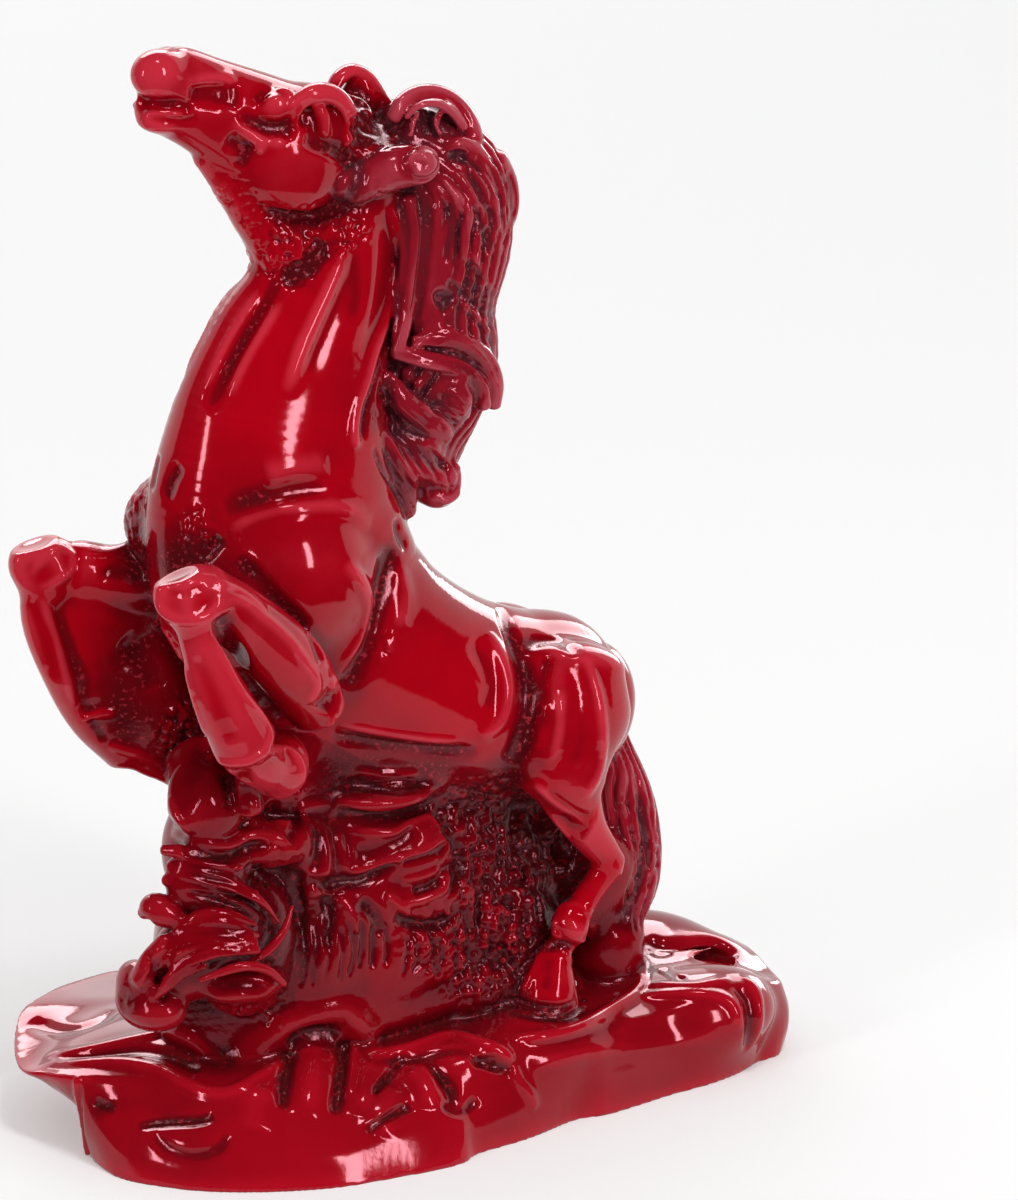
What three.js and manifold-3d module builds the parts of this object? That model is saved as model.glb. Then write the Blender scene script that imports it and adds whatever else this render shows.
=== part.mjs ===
// Rearing horse figurine on a rock base, cast in glossy translucent red resin.
// Millimetres, Z up. The horse faces -X, so its left side is the -Y side.
// The flat underside of the base lies on Z = 0, below the middle of the body.
// Half widths run across the horse, half depths run in its side view.

import * as THREE from 'three';
import { mergeVertices } from 'three/addons/utils/BufferGeometryUtils.js';
import Module from 'manifold-3d';

const wasm = await Module();
wasm.setup();

// Glue joints: one gap for all of them, and round locating pegs.
const GLUE_GAP = 0.3;
const PEG_SIDES = 10;
const PEG_DEPTH = 3.0;
const NECK_PEG_RADIUS = 3.0;
const HEAD_PEG_RADIUS = 1.8;
const MANE_PEG_RADIUS = 1.6;
const TAIL_PEG_RADIUS = 1.6;
const PILLAR_PEG_RADIUS = 4.0;
const TUFT_PEG_RADIUS = 1.3;
const FOOT_PEG_RADIUS = 1.0;

// Torso and neck.
const BARREL_HALF_WIDTH = 9.8;
const BARREL_HALF_DEPTH = 11.2;
const CHEST_HALF_WIDTH = 9.6;
const CHEST_HALF_DEPTH = 13.4;
const SHOULDER_OFFSET = [-1.2, 7.4, -4.0];
const SHOULDER_RADII = [6.6, 4.4, 6.4];
const SHOULDER_TURN = 35;
const FAR_SHOULDER_OFFSET = [-8.8, 6.4, -1.0];
const FAR_SHOULDER_RADII = [4.2, 3.4, 4.6];

// Head, with the jowls, the eyes and the two ears.
const HEAD_HALF_WIDTH = 5.0;
const HEAD_HALF_DEPTH = 6.8;
const JOWL_OFFSET = [0.2, 2.6, -1.6];
const JOWL_RADII = [5.0, 3.2, 5.0];
const EYE_OFFSET = [2.0, 3.4, 2.3];
const EYE_RADII = [2.5, 1.5, 1.9];
const EYE_TURN = -25;
const LEFT_EAR_OFFSET = [-0.8, -3.4, 3.4];
const RIGHT_EAR_OFFSET = [1.4, 3.0, 4.6];
const EAR_RADII = [3.2, 1.7, 3.2];

// Mane and tail.
const MANE_HALF_WIDTH = 6.4;
const MANE_HALF_DEPTH = 8.0;
const LOCK_RADIUS = 2.0;
const TOP_CURL_OFFSET = [4.5, 0, 0.2];
const TOP_CURL_RADII = [4.6, 4.4, 4.0];
const TAIL_HALF_WIDTH = 5.0;
const TAIL_HALF_DEPTH = 4.8;

// Legs.
const FOREARM_RADIUS = 3.3;
const CANNON_RADIUS = 2.5;
const LEFT_KNEE_OFFSET = [-1.6, -0.1, 0.4];
const RIGHT_KNEE_OFFSET = [-3.4, 0.6, 1.0];
const KNEE_RADII = [3.7, 3.0, 3.2];
const KNEE_TURN = 20;
const FORE_HOOF_OFFSET = [0.2, 0.2, 0.2];
const FORE_HOOF_RADII = [3.0, 2.9, 3.4];
const WEB_HALF_THICKNESS = 2.6;
const THIGH_HALF_WIDTH = 4.8;
const THIGH_HALF_DEPTH = 9.0;
const GASKIN_RADIUS = 3.0;
const HIND_CANNON_RADIUS = 1.9;
const HIND_HOOF_RADIUS = 3.4;
const HIND_HOOF_X = 11.0;
const HIND_HOOF_Y = 8.4;
const HOOF_LEAN = 0.8;
const HOOF_RISE = 0.4;

// Rock base, the rock mass under the belly and the swept tuft on its left.
const BASE_TOP_Z = 11.0;
const BASE_CENTRE = [0, 3];
const BASE_FOOT_Z = 1.0;
const BASE_SIDES = 40;
const BASE_BULGE = 1.03;
const PILLAR_HALF_WIDTH = 8.8;
const PILLAR_HALF_DEPTH = 22.0;
const ROCK_DENT = 0.07;
const TUFT_CENTRE = [-23.4, -6.2, 19.0];
const TUFT_RADII = [6.0, 4.0, 11.0];
const TUFT_BLADE_RADIUS = 2.3;

// Joint planes: a point near a station, and the normal that points up the horse.
const NECK_PLANE_OFFSET = [1.2, 0, 3.5];
const NECK_PLANE_NORMAL = [0.12, 0, 0.99];
const HEAD_PLANE_OFFSET = [1.0, 0, -2.0];
const HEAD_PLANE_NORMAL = [-0.605, 0, 0.796];

// Seats of the pegs that stand in the base or in the neck.
const PEG_ROOT = 4.0;
const MANE_SEAT_OFFSET = [-5.5, 0, -1.5];
const TUFT_SEAT_OFFSET = [1.9, 0.6, -9.0];

// Rounding of the ends of each limb, and the room that a cutting block fills.
const DOME_SHARE = 0.62;
const DOME_LEANS = [THREE.MathUtils.degToRad(60), THREE.MathUtils.degToRad(30)];
const ROOM = 400;
const SIDEWAYS = new THREE.Vector3(0, 1, 0);

// Stations along each form: x, y, z, share of the half width, share of the half depth.
const BARREL = [
  [-13.0, 0, 57.6, 0.95, 1.08],
  [-6.0, 0, 50.0, 1.00, 1.00],
  [2.6, 0, 44.6, 0.98, 0.92],
  [10.6, 0, 41.8, 0.93, 0.86],
  [16.4, 0, 40.6, 0.90, 0.82],
  [20.2, 0, 39.4, 0.72, 0.62],
];
const CHEST_TO_POLL = [
  [-13.0, 0, 52.0, 0.86, 0.78],
  [-15.4, 0, 58.5, 0.97, 0.98],
  [-16.2, 0, 66.0, 1.00, 1.00],
  [-15.2, 0, 74.5, 0.86, 0.90],
  [-12.8, 0, 82.6, 0.68, 0.76],
  [-9.4, 0, 90.4, 0.54, 0.54],
  [-7.2, 0, 96.8, 0.48, 0.42],
  [-6.4, 0, 103.0, 0.44, 0.38],
];
const HEAD = [
  [-7.4, 0, 102.4, 0.86, 0.84],
  [-11.2, 0, 103.2, 0.96, 0.94],
  [-15.0, 0, 104.4, 1.00, 0.92],
  [-19.2, 0, 106.9, 0.86, 0.80],
  [-23.6, 0, 109.4, 0.70, 0.70],
  [-27.0, 0, 111.2, 0.66, 0.66],
  [-28.6, 0, 112.0, 0.58, 0.58],
];
const MANE = [
  [-1.5, 0, 103.6, 0.66, 0.52],
  [2.8, 0, 98.6, 1.00, 0.88],
  [4.2, 0, 92.0, 1.00, 0.90],
  [3.0, 0, 85.5, 0.90, 0.78],
  [2.2, 0, 79.0, 0.86, 0.94],
  [0.0, 0, 73.2, 0.78, 0.88],
  [-1.4, 0, 67.6, 0.62, 0.72],
];
const MANE_LOCKS = [
  [[-8.6, -5.2, 101.6, 0.70, 0.80], [-4.6, -5.8, 101.9, 0.90, 1.05], [-0.4, -5.4, 101.8, 0.95, 1.15]],
  [
    [1.6, -4.8, 98.0, 0.80, 0.80],
    [5.4, -5.0, 92.4, 0.90, 0.90],
    [4.8, -5.2, 86.0, 0.90, 0.90],
    [1.0, -5.6, 81.0, 0.70, 0.80],
  ],
  [[-1.6, -5.2, 82.4, 0.80, 0.80], [3.0, -5.4, 80.2, 0.95, 0.90], [5.8, -4.6, 76.6, 0.90, 0.90]],
  [[-3.4, -5.0, 72.8, 0.70, 0.80], [0.4, -4.6, 70.4, 0.90, 0.95], [2.4, -3.8, 67.6, 0.90, 0.95]],
];
const TAIL = [
  [20.4, 0, 40.4, 0.60, 0.56],
  [22.0, 0, 34.5, 0.80, 0.76],
  [23.8, 0, 27.5, 0.96, 0.94],
  [25.2, 0, 20.5, 1.05, 0.98],
  [24.4, 0, 14.5, 1.00, 0.84],
  [23.8, 0, 11.6, 1.05, 0.84],
];
const FOREARM_LEFT = [
  [-17.0, -9.8, 49.0, 1.00, 0.95],
  [-20.6, -12.0, 54.0, 1.00, 1.12],
  [-27.0, -13.2, 60.4, 0.92, 1.00],
  [-31.4, -13.9, 63.6, 0.92, 0.96],
];
const CANNON_LEFT = [
  [-32.4, -14.0, 62.6, 1.00, 0.95],
  [-31.2, -14.4, 57.2, 0.90, 0.90],
  [-29.2, -14.4, 52.2, 1.08, 1.12],
  [-27.0, -13.8, 48.0, 1.30, 1.36],
];
const FETLOCK_LEFT = [
  [-26.6, -13.4, 46.6, 1.10, 1.10],
  [-24.0, -12.4, 44.4, 1.05, 1.05],
  [-21.6, -11.0, 43.4, 1.10, 1.10],
];
const FOREARM_RIGHT = [
  [-21.0, 6.6, 58.6, 0.90, 1.10],
  [-27.6, 8.4, 58.6, 0.95, 0.95],
  [-33.0, 9.8, 60.0, 0.95, 0.95],
];
const CANNON_RIGHT = [
  [-36.2, 10.4, 61.0, 1.00, 0.95],
  [-36.6, 10.6, 55.4, 0.95, 0.95],
  [-34.2, 10.2, 49.2, 1.05, 1.05],
  [-31.4, 9.6, 44.6, 1.20, 1.20],
  [-28.4, 8.6, 41.2, 1.25, 1.20],
];
const FORELEG_WEB = [
  [-20.0, 7.0, 57.0, 1.00, 2.60],
  [-28.4, 8.8, 53.6, 0.92, 3.10],
  [-27.0, 8.0, 46.0, 0.92, 2.60],
  [-22.0, 6.4, 41.0, 0.92, 2.00],
];
const THIGH = [
  [15.6, -6.8, 46.8, 0.80, 0.58],
  [14.2, -7.6, 43.0, 1.00, 0.76],
  [13.0, -8.1, 39.2, 0.94, 0.68],
  [12.6, -8.6, 35.6, 0.76, 0.52],
];
const GASKIN = [
  [12.6, -8.8, 35.0, 1.00, 1.20],
  [14.4, -9.2, 31.2, 0.92, 1.05],
  [17.4, -9.2, 27.6, 0.72, 0.78],
  [19.4, -9.0, 25.2, 0.66, 0.70],
];
const HIND_CANNON = [
  [19.4, -9.0, 25.4, 1.00, 1.05],
  [16.4, -8.8, 22.4, 0.90, 0.92],
  [13.2, -8.6, 19.2, 1.10, 1.15],
  [11.8, -HIND_HOOF_Y, 16.8, 1.00, 1.05],
];
const HIND_HOOF = [
  [HIND_HOOF_X + HOOF_LEAN, -HIND_HOOF_Y, 17.4, 0.58, 0.60],
  [HIND_HOOF_X + HOOF_LEAN / 4, -HIND_HOOF_Y, 14.8, 0.84, 0.86],
  [HIND_HOOF_X, -HIND_HOOF_Y, BASE_TOP_Z + HOOF_RISE, 1.00, 1.05],
];
const PILLAR = [
  [-5.6, 1, 12.6, 1.00, 1.00],
  [-6.2, 1, 17.0, 0.98, 0.98],
  [-7.6, 1, 23.0, 0.93, 0.92],
  [-9.8, 1, 29.0, 0.88, 0.82],
  [-12.6, 1, 35.5, 0.80, 0.70],
  [-16.5, 0, 40.5, 0.66, 0.46],
];

// Lumps, joint planes and seats lie at a named offset from the station that carries them.
function beside(station, offset) {
  return offset.map((part, axis) => station[axis] + part);
}
const SHOULDER_CENTRE = beside(CHEST_TO_POLL[2], SHOULDER_OFFSET);
const FAR_SHOULDER_CENTRE = beside(CHEST_TO_POLL[2], FAR_SHOULDER_OFFSET);
const JOWL_CENTRE = beside(HEAD[2], JOWL_OFFSET);
const EYE_CENTRE = beside(HEAD[3], EYE_OFFSET);
const LEFT_EAR_CENTRE = beside(HEAD[1], LEFT_EAR_OFFSET);
const RIGHT_EAR_CENTRE = beside(HEAD[0], RIGHT_EAR_OFFSET);
const TOP_CURL_CENTRE = beside(MANE[0], TOP_CURL_OFFSET);
const LEFT_KNEE_CENTRE = beside(FOREARM_LEFT[3], LEFT_KNEE_OFFSET);
const RIGHT_KNEE_CENTRE = beside(FOREARM_RIGHT[2], RIGHT_KNEE_OFFSET);
const FORE_HOOF_CENTRE = beside(FETLOCK_LEFT[2], FORE_HOOF_OFFSET);
const NECK_PLANE_POINT = beside(CHEST_TO_POLL[2], NECK_PLANE_OFFSET);
const HEAD_PLANE_POINT = beside(HEAD[1], HEAD_PLANE_OFFSET);
const MANE_SEAT = beside(MANE[3], MANE_SEAT_OFFSET);
const TAIL_SEAT = [TAIL[5][0], TAIL[5][1], BASE_TOP_Z];
const PILLAR_SEAT = [PILLAR[1][0], PILLAR[1][1], BASE_TOP_Z];
const TUFT_SEAT = beside(TUFT_CENTRE, TUFT_SEAT_OFFSET);

// Curved blades of the tuft: four points each, and how they taper to the tip.
const TUFT_BLADES = [
  [[-16.5, -8.6, 21.0], [-21.0, -8.4, 26.4], [-25.6, -6.8, 27.6], [-31.2, -4.4, 26.4]],
  [[-15.6, -10.4, 15.0], [-20.5, -10.2, 20.4], [-26.0, -8.0, 21.8], [-31.4, -5.0, 20.6]],
  [[-16.0, -7.4, 26.0], [-20.0, -7.6, 30.6], [-24.6, -6.6, 32.0], [-28.4, -4.6, 31.0]],
  [[-17.0, -10.4, 12.4], [-22.0, -9.6, 15.4], [-28.0, -6.8, 16.6], [-33.0, -3.8, 16.0]],
];
const BLADE_TAPER = [0.9, 1.0, 0.9, 0.5];

// Rocks: centre, then radii.
const BASE_ROCKS = [
  [[30.5, -8.2, 6.6], [7.6, 5.4, 5.2]],
  [[32.6, 1.0, 7.0], [7.4, 6.4, 4.4]],
  [[8.6, -8.6, 6.6], [7.4, 5.2, 4.8]],
  [[-28.0, 6.6, 7.2], [9.4, 8.0, 3.6]],
];
const PILLAR_ROCKS = [
  [[-23.8, -5.8, 35.4], [4.6, 4.8, 4.2]],
  [[-14.8, -7.2, 32.8], [3.0, 3.0, 3.4]],
  [[-4.6, -6.4, 29.2], [7.4, 4.4, 3.0]],
  [[-0.6, -7.0, 24.0], [5.6, 4.2, 3.4]],
  [[8.6, -1.6, 18.0], [9.5, 5.6, 8.6]],
];

// Base outline: x and y on the underside, then x, y and z of the brim above it.
const BASE_ROWS = [
  [-37.5, 8.0, -38.4, 11.0, 7.0],
  [-37.3, 2.0, -37.6, 5.5, 7.0],
  [-36.1, -5.4, -32.5, 1.5, 9.5],
  [-31.0, -10.8, -28.5, -1.5, 10.0],
  [-25.8, -16.0, -24.5, -7.5, 9.5],
  [-20.0, -17.9, -19.0, -10.5, 8.2],
  [-12.0, -18.6, -11.5, -11.8, 7.6],
  [-5.0, -18.5, -5.0, -12.2, 8.0],
  [1.0, -16.2, 2.0, -12.2, 8.5],
  [7.4, -14.9, 7.5, -13.0, 9.0],
  [15.0, -14.4, 15.0, -12.3, 9.0],
  [22.0, -13.0, 22.0, -10.2, 8.0],
  [29.0, -12.0, 29.0, -10.5, 7.5],
  [35.0, -9.5, 35.0, -8.5, 8.0],
  [39.2, -4.0, 38.6, -4.0, 7.0],
  [40.0, 2.0, 38.4, 2.0, 8.0],
  [37.0, 8.0, 35.5, 6.4, 9.0],
  [28.0, 14.0, 26.0, 12.0, 9.0],
  [15.0, 17.5, 14.0, 15.5, 9.0],
  [0.0, 19.5, 0.0, 17.5, 9.0],
  [-13.0, 21.5, -13.0, 21.0, 9.0],
  [-24.0, 22.6, -23.5, 24.8, 8.5],
  [-32.0, 19.5, -31.8, 22.3, 8.0],
  [-36.0, 14.5, -36.8, 17.6, 7.0],
];

// Cast resin finishes, taken from the lit and the shaded parts of the figure.
function resin(colour, roughness) {
  return new THREE.MeshStandardMaterial({ color: colour, roughness, metalness: 0 });
}
const BODY_RESIN = resin('#a3040f', 0.14);
const HAIR_RESIN = resin('#8a0c1c', 0.2);
const ROCK_RESIN = resin('#7d0712', 0.24);
const BASE_RESIN = resin('#8f0713', 0.18);

// Geometry to solid and back.
function toSolid(geometry) {
  const bare = geometry.clone();
  bare.deleteAttribute('normal');
  bare.deleteAttribute('uv');
  const merged = mergeVertices(bare, 1e-4);
  return new wasm.Manifold(new wasm.Mesh({
    numProp: 3,
    vertProperties: new Float32Array(merged.attributes.position.array),
    triVerts: new Uint32Array(merged.index.array),
  }));
}

function toGeometry(solid) {
  const mesh = solid.getMesh();
  const geometry = new THREE.BufferGeometry();
  geometry.setAttribute('position', new THREE.BufferAttribute(new Float32Array(mesh.vertProperties), 3));
  geometry.setIndex(new THREE.BufferAttribute(new Uint32Array(mesh.triVerts), 1));
  geometry.computeVertexNormals();
  return geometry;
}

function joinAll(solids) {
  return solids.reduce((whole, solid) => whole.add(solid));
}

// Closed skin over rings of points, each ring with the same number of points.
function skin(rings, firstTip, lastTip) {
  const count = rings[0].length;
  const points = [firstTip, ...rings.flat(), lastTip];
  const faces = [];
  const at = (ring, k) => 1 + ring * count + (k % count);
  const last = points.length - 1;
  for (let k = 0; k < count; k += 1) {
    faces.push(0, at(0, k + 1), at(0, k));
    for (let ring = 0; ring + 1 < rings.length; ring += 1) {
      faces.push(at(ring, k), at(ring, k + 1), at(ring + 1, k));
      faces.push(at(ring, k + 1), at(ring + 1, k + 1), at(ring + 1, k));
    }
    faces.push(last, at(rings.length - 1, k), at(rings.length - 1, k + 1));
  }
  const geometry = new THREE.BufferGeometry();
  const flat = new Float32Array(points.flatMap((point) => [point.x, point.y, point.z]));
  geometry.setAttribute('position', new THREE.BufferAttribute(flat, 3));
  geometry.setIndex(faces);
  return geometry;
}

// Oval body along a smooth spine, with a rounded dome at each end.
function limb(stations, width, depth, grow, { sides = 10, steps = 8 } = {}) {
  const spine = new THREE.CatmullRomCurve3(
    stations.map(([x, y, z]) => new THREE.Vector3(x, y, z)), false, 'centripetal');
  const spans = stations.length - 1;
  const sizeAt = (t) => {
    const place = Math.min(t * spans, spans - 1e-9);
    const from = stations[Math.floor(place)];
    const to = stations[Math.floor(place) + 1];
    const share = THREE.MathUtils.smoothstep(place - Math.floor(place), -0.25, 1.25);
    return [
      width * THREE.MathUtils.lerp(from[3], to[3], share),
      depth * THREE.MathUtils.lerp(from[4], to[4], share),
    ];
  };
  const ringAt = (t, lean) => {
    const [halfWidth, halfDepth] = sizeAt(t);
    const along = spine.getTangent(t);
    const across = SIDEWAYS.clone().addScaledVector(along, -SIDEWAYS.dot(along)).normalize();
    const upward = new THREE.Vector3().crossVectors(along, across);
    const dome = Math.min(halfWidth, halfDepth) * DOME_SHARE + grow;
    const centre = spine.getPoint(t).addScaledVector(along, dome * Math.sin(lean));
    const shrink = Math.cos(lean);
    return Array.from({ length: sides }, (_, k) => {
      const turn = (2 * Math.PI * k) / sides;
      return centre.clone()
        .addScaledVector(across, Math.cos(turn) * (halfWidth + grow) * shrink)
        .addScaledVector(upward, Math.sin(turn) * (halfDepth + grow) * shrink);
    });
  };
  const rings = [];
  DOME_LEANS.forEach((lean) => rings.push(ringAt(0, -lean)));
  for (let step = 0; step <= steps; step += 1) {
    rings.push(ringAt(step / steps, 0));
  }
  [...DOME_LEANS].reverse().forEach((lean) => rings.push(ringAt(1, lean)));
  return toSolid(skin(rings, ringAt(0, -Math.PI / 2)[0], ringAt(1, Math.PI / 2)[0]));
}

// Rounded lump: an ellipsoid, turned in the side view by an angle in degrees.
function lump(centre, radii, grow, { turn = 0, across = 12, down = 8 } = {}) {
  const geometry = new THREE.SphereGeometry(1, across, down);
  geometry.rotateX(Math.PI / 2);
  geometry.scale(radii[0] + grow, radii[1] + grow, radii[2] + grow);
  geometry.rotateY(THREE.MathUtils.degToRad(turn));
  geometry.translate(...centre);
  return toSolid(geometry);
}

// Faceted rock: a coarse ball with dents that repeat exactly on every build.
function rock(centre, radii, grow) {
  const geometry = new THREE.IcosahedronGeometry(1, 2);
  const position = geometry.attributes.position;
  for (let k = 0; k < position.count; k += 1) {
    const point = new THREE.Vector3().fromBufferAttribute(position, k);
    const dent = Math.sin(4.1 * point.x + centre[0]) * Math.sin(3.7 * point.y + centre[1])
      * Math.cos(4.4 * point.z + centre[2]);
    point.multiplyScalar(1 + ROCK_DENT * dent);
    position.setXYZ(k, point.x, point.y, point.z);
  }
  geometry.scale(radii[0] + grow, radii[1] + grow, radii[2] + grow);
  geometry.translate(...centre);
  return toSolid(geometry);
}

// Round locating peg from one point to another; its hole is the same peg grown.
function peg(from, to, radius, grow) {
  const start = new THREE.Vector3(...from);
  const reach = new THREE.Vector3(...to).sub(start);
  const geometry = new THREE.CylinderGeometry(radius + grow, radius + grow, reach.length() + grow, PEG_SIDES);
  geometry.translate(0, (reach.length() + grow) / 2, 0);
  geometry.applyQuaternion(new THREE.Quaternion().setFromUnitVectors(
    new THREE.Vector3(0, 1, 0), reach.clone().normalize()));
  geometry.translate(...from);
  return toSolid(geometry);
}

// Everything on the side of a plane that its normal points to.
function sideOf(point, normal, shift) {
  const geometry = new THREE.BoxGeometry(ROOM, ROOM, ROOM);
  geometry.translate(0, 0, ROOM / 2 + shift);
  geometry.applyQuaternion(new THREE.Quaternion().setFromUnitVectors(
    new THREE.Vector3(0, 0, 1), new THREE.Vector3(...normal).normalize()));
  geometry.translate(...point);
  return toSolid(geometry);
}

function above(solid, point, normal, shift) {
  return solid.intersect(sideOf(point, normal, shift));
}

function below(solid, point, normal, shift) {
  return solid.subtract(sideOf(point, normal, -shift));
}

function mirrored(stations) {
  return stations.map(([x, y, ...rest]) => [x, -y, ...rest]);
}

// The same lump on the left and on the right of the horse.
function lumpPair([x, y, z], radii, grow, options) {
  return [-1, 1].map((side) => lump([x, side * y, z], radii, grow, options));
}

// Horse body from rump to muzzle, before it is parted into castings.
function bodyForm(grow) {
  return joinAll([
    limb(BARREL, BARREL_HALF_WIDTH, BARREL_HALF_DEPTH, grow, { sides: 16, steps: 12 }),
    limb(CHEST_TO_POLL, CHEST_HALF_WIDTH, CHEST_HALF_DEPTH, grow, { sides: 16, steps: 16 }),
    ...lumpPair(SHOULDER_CENTRE, SHOULDER_RADII, grow, { turn: SHOULDER_TURN }),
    lump(FAR_SHOULDER_CENTRE, FAR_SHOULDER_RADII, grow),
    headForm(grow),
  ]);
}

function headForm(grow) {
  return joinAll([
    limb(HEAD, HEAD_HALF_WIDTH, HEAD_HALF_DEPTH, grow, { sides: 14, steps: 10 }),
    ...lumpPair(JOWL_CENTRE, JOWL_RADII, grow),
    ...lumpPair(EYE_CENTRE, EYE_RADII, grow, { turn: EYE_TURN }),
    lump(LEFT_EAR_CENTRE, EAR_RADII, grow),
    lump(RIGHT_EAR_CENTRE, EAR_RADII, grow),
  ]);
}

// Left foreleg, folded: forearm up to the knee, cannon hanging down to the hoof.
function leftForelegForm(grow) {
  return joinAll([
    limb(FOREARM_LEFT, FOREARM_RADIUS, FOREARM_RADIUS, grow),
    lump(LEFT_KNEE_CENTRE, KNEE_RADII, grow, { turn: KNEE_TURN }),
    limb(CANNON_LEFT, CANNON_RADIUS, CANNON_RADIUS, grow),
    limb(FETLOCK_LEFT, CANNON_RADIUS, CANNON_RADIUS, grow, { steps: 6 }),
    lump(FORE_HOOF_CENTRE, FORE_HOOF_RADII, grow),
  ]);
}

// Right foreleg, reaching further forward, with a web of resin to the chest.
function rightForelegForm(grow) {
  return joinAll([
    limb(FOREARM_RIGHT, FOREARM_RADIUS, FOREARM_RADIUS, grow),
    lump(RIGHT_KNEE_CENTRE, KNEE_RADII, grow),
    limb(CANNON_RIGHT, CANNON_RADIUS, CANNON_RADIUS, grow),
    limb(FORELEG_WEB, WEB_HALF_THICKNESS, WEB_HALF_THICKNESS, grow),
  ]);
}

function hindLegForm(side, grow) {
  const turned = (stations) => (side < 0 ? stations : mirrored(stations));
  return joinAll([
    limb(turned(THIGH), THIGH_HALF_WIDTH, THIGH_HALF_DEPTH, grow),
    limb(turned(GASKIN), GASKIN_RADIUS, GASKIN_RADIUS, grow),
    limb(turned(HIND_CANNON), HIND_CANNON_RADIUS, HIND_CANNON_RADIUS, grow),
    limb(turned(HIND_HOOF), HIND_HOOF_RADIUS, HIND_HOOF_RADIUS, grow, { steps: 6 }),
  ]);
}

function tailForm(grow) {
  return limb(TAIL, TAIL_HALF_WIDTH, TAIL_HALF_DEPTH, grow, { sides: 14, steps: 12 });
}

// Mane: one thick mass along the crest, with rolled locks on both sides of it.
function maneForm() {
  const locks = [...MANE_LOCKS, ...MANE_LOCKS.map(mirrored)];
  return joinAll([
    limb(MANE, MANE_HALF_WIDTH, MANE_HALF_DEPTH, 0, { sides: 12, steps: 12 }),
    ...locks.map((lock) => limb(lock, LOCK_RADIUS, LOCK_RADIUS, 0, { sides: 7, steps: 6 })),
    lump(TOP_CURL_CENTRE, TOP_CURL_RADII, 0),
  ]);
}

// Rock mass from the base up to the belly and the forelegs.
function pillarForm(grow) {
  return joinAll([
    limb(PILLAR, PILLAR_HALF_WIDTH, PILLAR_HALF_DEPTH, grow, { sides: 16 }),
    ...PILLAR_ROCKS.map(([centre, radii]) => rock(centre, radii, grow)),
  ]);
}

// Tuft of swept blades growing out of the ground against the rock.
function tuftForm() {
  const tapered = (blade) => blade.map((point, k) => [...point, BLADE_TAPER[k], BLADE_TAPER[k]]);
  return joinAll([
    lump(TUFT_CENTRE, TUFT_RADII, 0),
    ...TUFT_BLADES.map((blade) => limb(tapered(blade), TUFT_BLADE_RADIUS, TUFT_BLADE_RADIUS, 0,
      { sides: 8, steps: 7 })),
  ]);
}

// Base: a slab from its foot outline up to its brim and over to a low crown.
function baseForm(grow) {
  const foot = new THREE.CatmullRomCurve3(
    BASE_ROWS.map(([x, y]) => new THREE.Vector3(x, y, 0)), true);
  const brim = new THREE.CatmullRomCurve3(
    BASE_ROWS.map(([, , x, y, z]) => new THREE.Vector3(x, y, z)), true);
  const crown = new THREE.Vector3(...BASE_CENTRE, BASE_TOP_Z);
  const bulge = new THREE.Vector3(BASE_BULGE, BASE_BULGE, 1);
  const ringFrom = (place) => Array.from({ length: BASE_SIDES }, (_, k) => {
    const point = place(foot.getPoint(k / BASE_SIDES), brim.getPoint(k / BASE_SIDES));
    return point.setZ(point.z > 0 ? point.z + grow : 0);
  });
  const rings = [
    ringFrom((low) => low),
    ringFrom((low) => low.setZ(BASE_FOOT_Z)),
    ringFrom((low, high) => low.lerp(high, 0.35).setZ(high.z / 2).sub(crown).multiply(bulge).add(crown)),
    ringFrom((low, high) => high),
    ringFrom((low, high) => high.clone().lerp(crown, 0.2).setZ(0.3 * high.z + 0.7 * crown.z)),
    ringFrom((low, high) => high.clone().lerp(crown, 0.55).setZ(crown.z)),
  ];
  const slab = toSolid(skin(rings, crown.clone().setZ(0), crown.clone().setZ(crown.z + grow)));
  const whole = joinAll([slab, ...BASE_ROCKS.map(([centre, radii]) => rock(centre, radii, grow))]);
  return above(whole, [0, 0, 0], [0, 0, 1], 0);
}

// Peg through a seat: rooted in its own casting and reaching into the next one.
function pegAt(seat, direction, radius, grow) {
  const along = new THREE.Vector3(...direction).normalize();
  const middle = new THREE.Vector3(...seat);
  const from = middle.clone().addScaledVector(along, -PEG_ROOT);
  const to = middle.clone().addScaledVector(along, PEG_DEPTH);
  return peg(from.toArray(), to.toArray(), radius, grow);
}

const DOWN = [0, 0, -1];
const reversed = (normal) => normal.map((part) => -part);
const footSeat = (side) => [HIND_HOOF_X, side * HIND_HOOF_Y, BASE_TOP_Z];
const neckPeg = (grow) => pegAt(NECK_PLANE_POINT, reversed(NECK_PLANE_NORMAL), NECK_PEG_RADIUS, grow);
const headPeg = (grow) => pegAt(HEAD_PLANE_POINT, reversed(HEAD_PLANE_NORMAL), HEAD_PEG_RADIUS, grow);
const manePeg = (grow) => pegAt(MANE_SEAT, [-1, 0, 0], MANE_PEG_RADIUS, grow);
const tailPeg = (grow) => pegAt(TAIL_SEAT, DOWN, TAIL_PEG_RADIUS, grow);
const pillarPeg = (grow) => pegAt(PILLAR_SEAT, DOWN, PILLAR_PEG_RADIUS, grow);
const tuftPeg = (grow) => pegAt(TUFT_SEAT, DOWN, TUFT_PEG_RADIUS, grow);
const footPeg = (side, grow) => pegAt(footSeat(side), DOWN, FOOT_PEG_RADIUS, grow);

function cutAll(solid, cutters) {
  return cutters.reduce((left, cutter) => left.subtract(cutter), solid);
}

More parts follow.
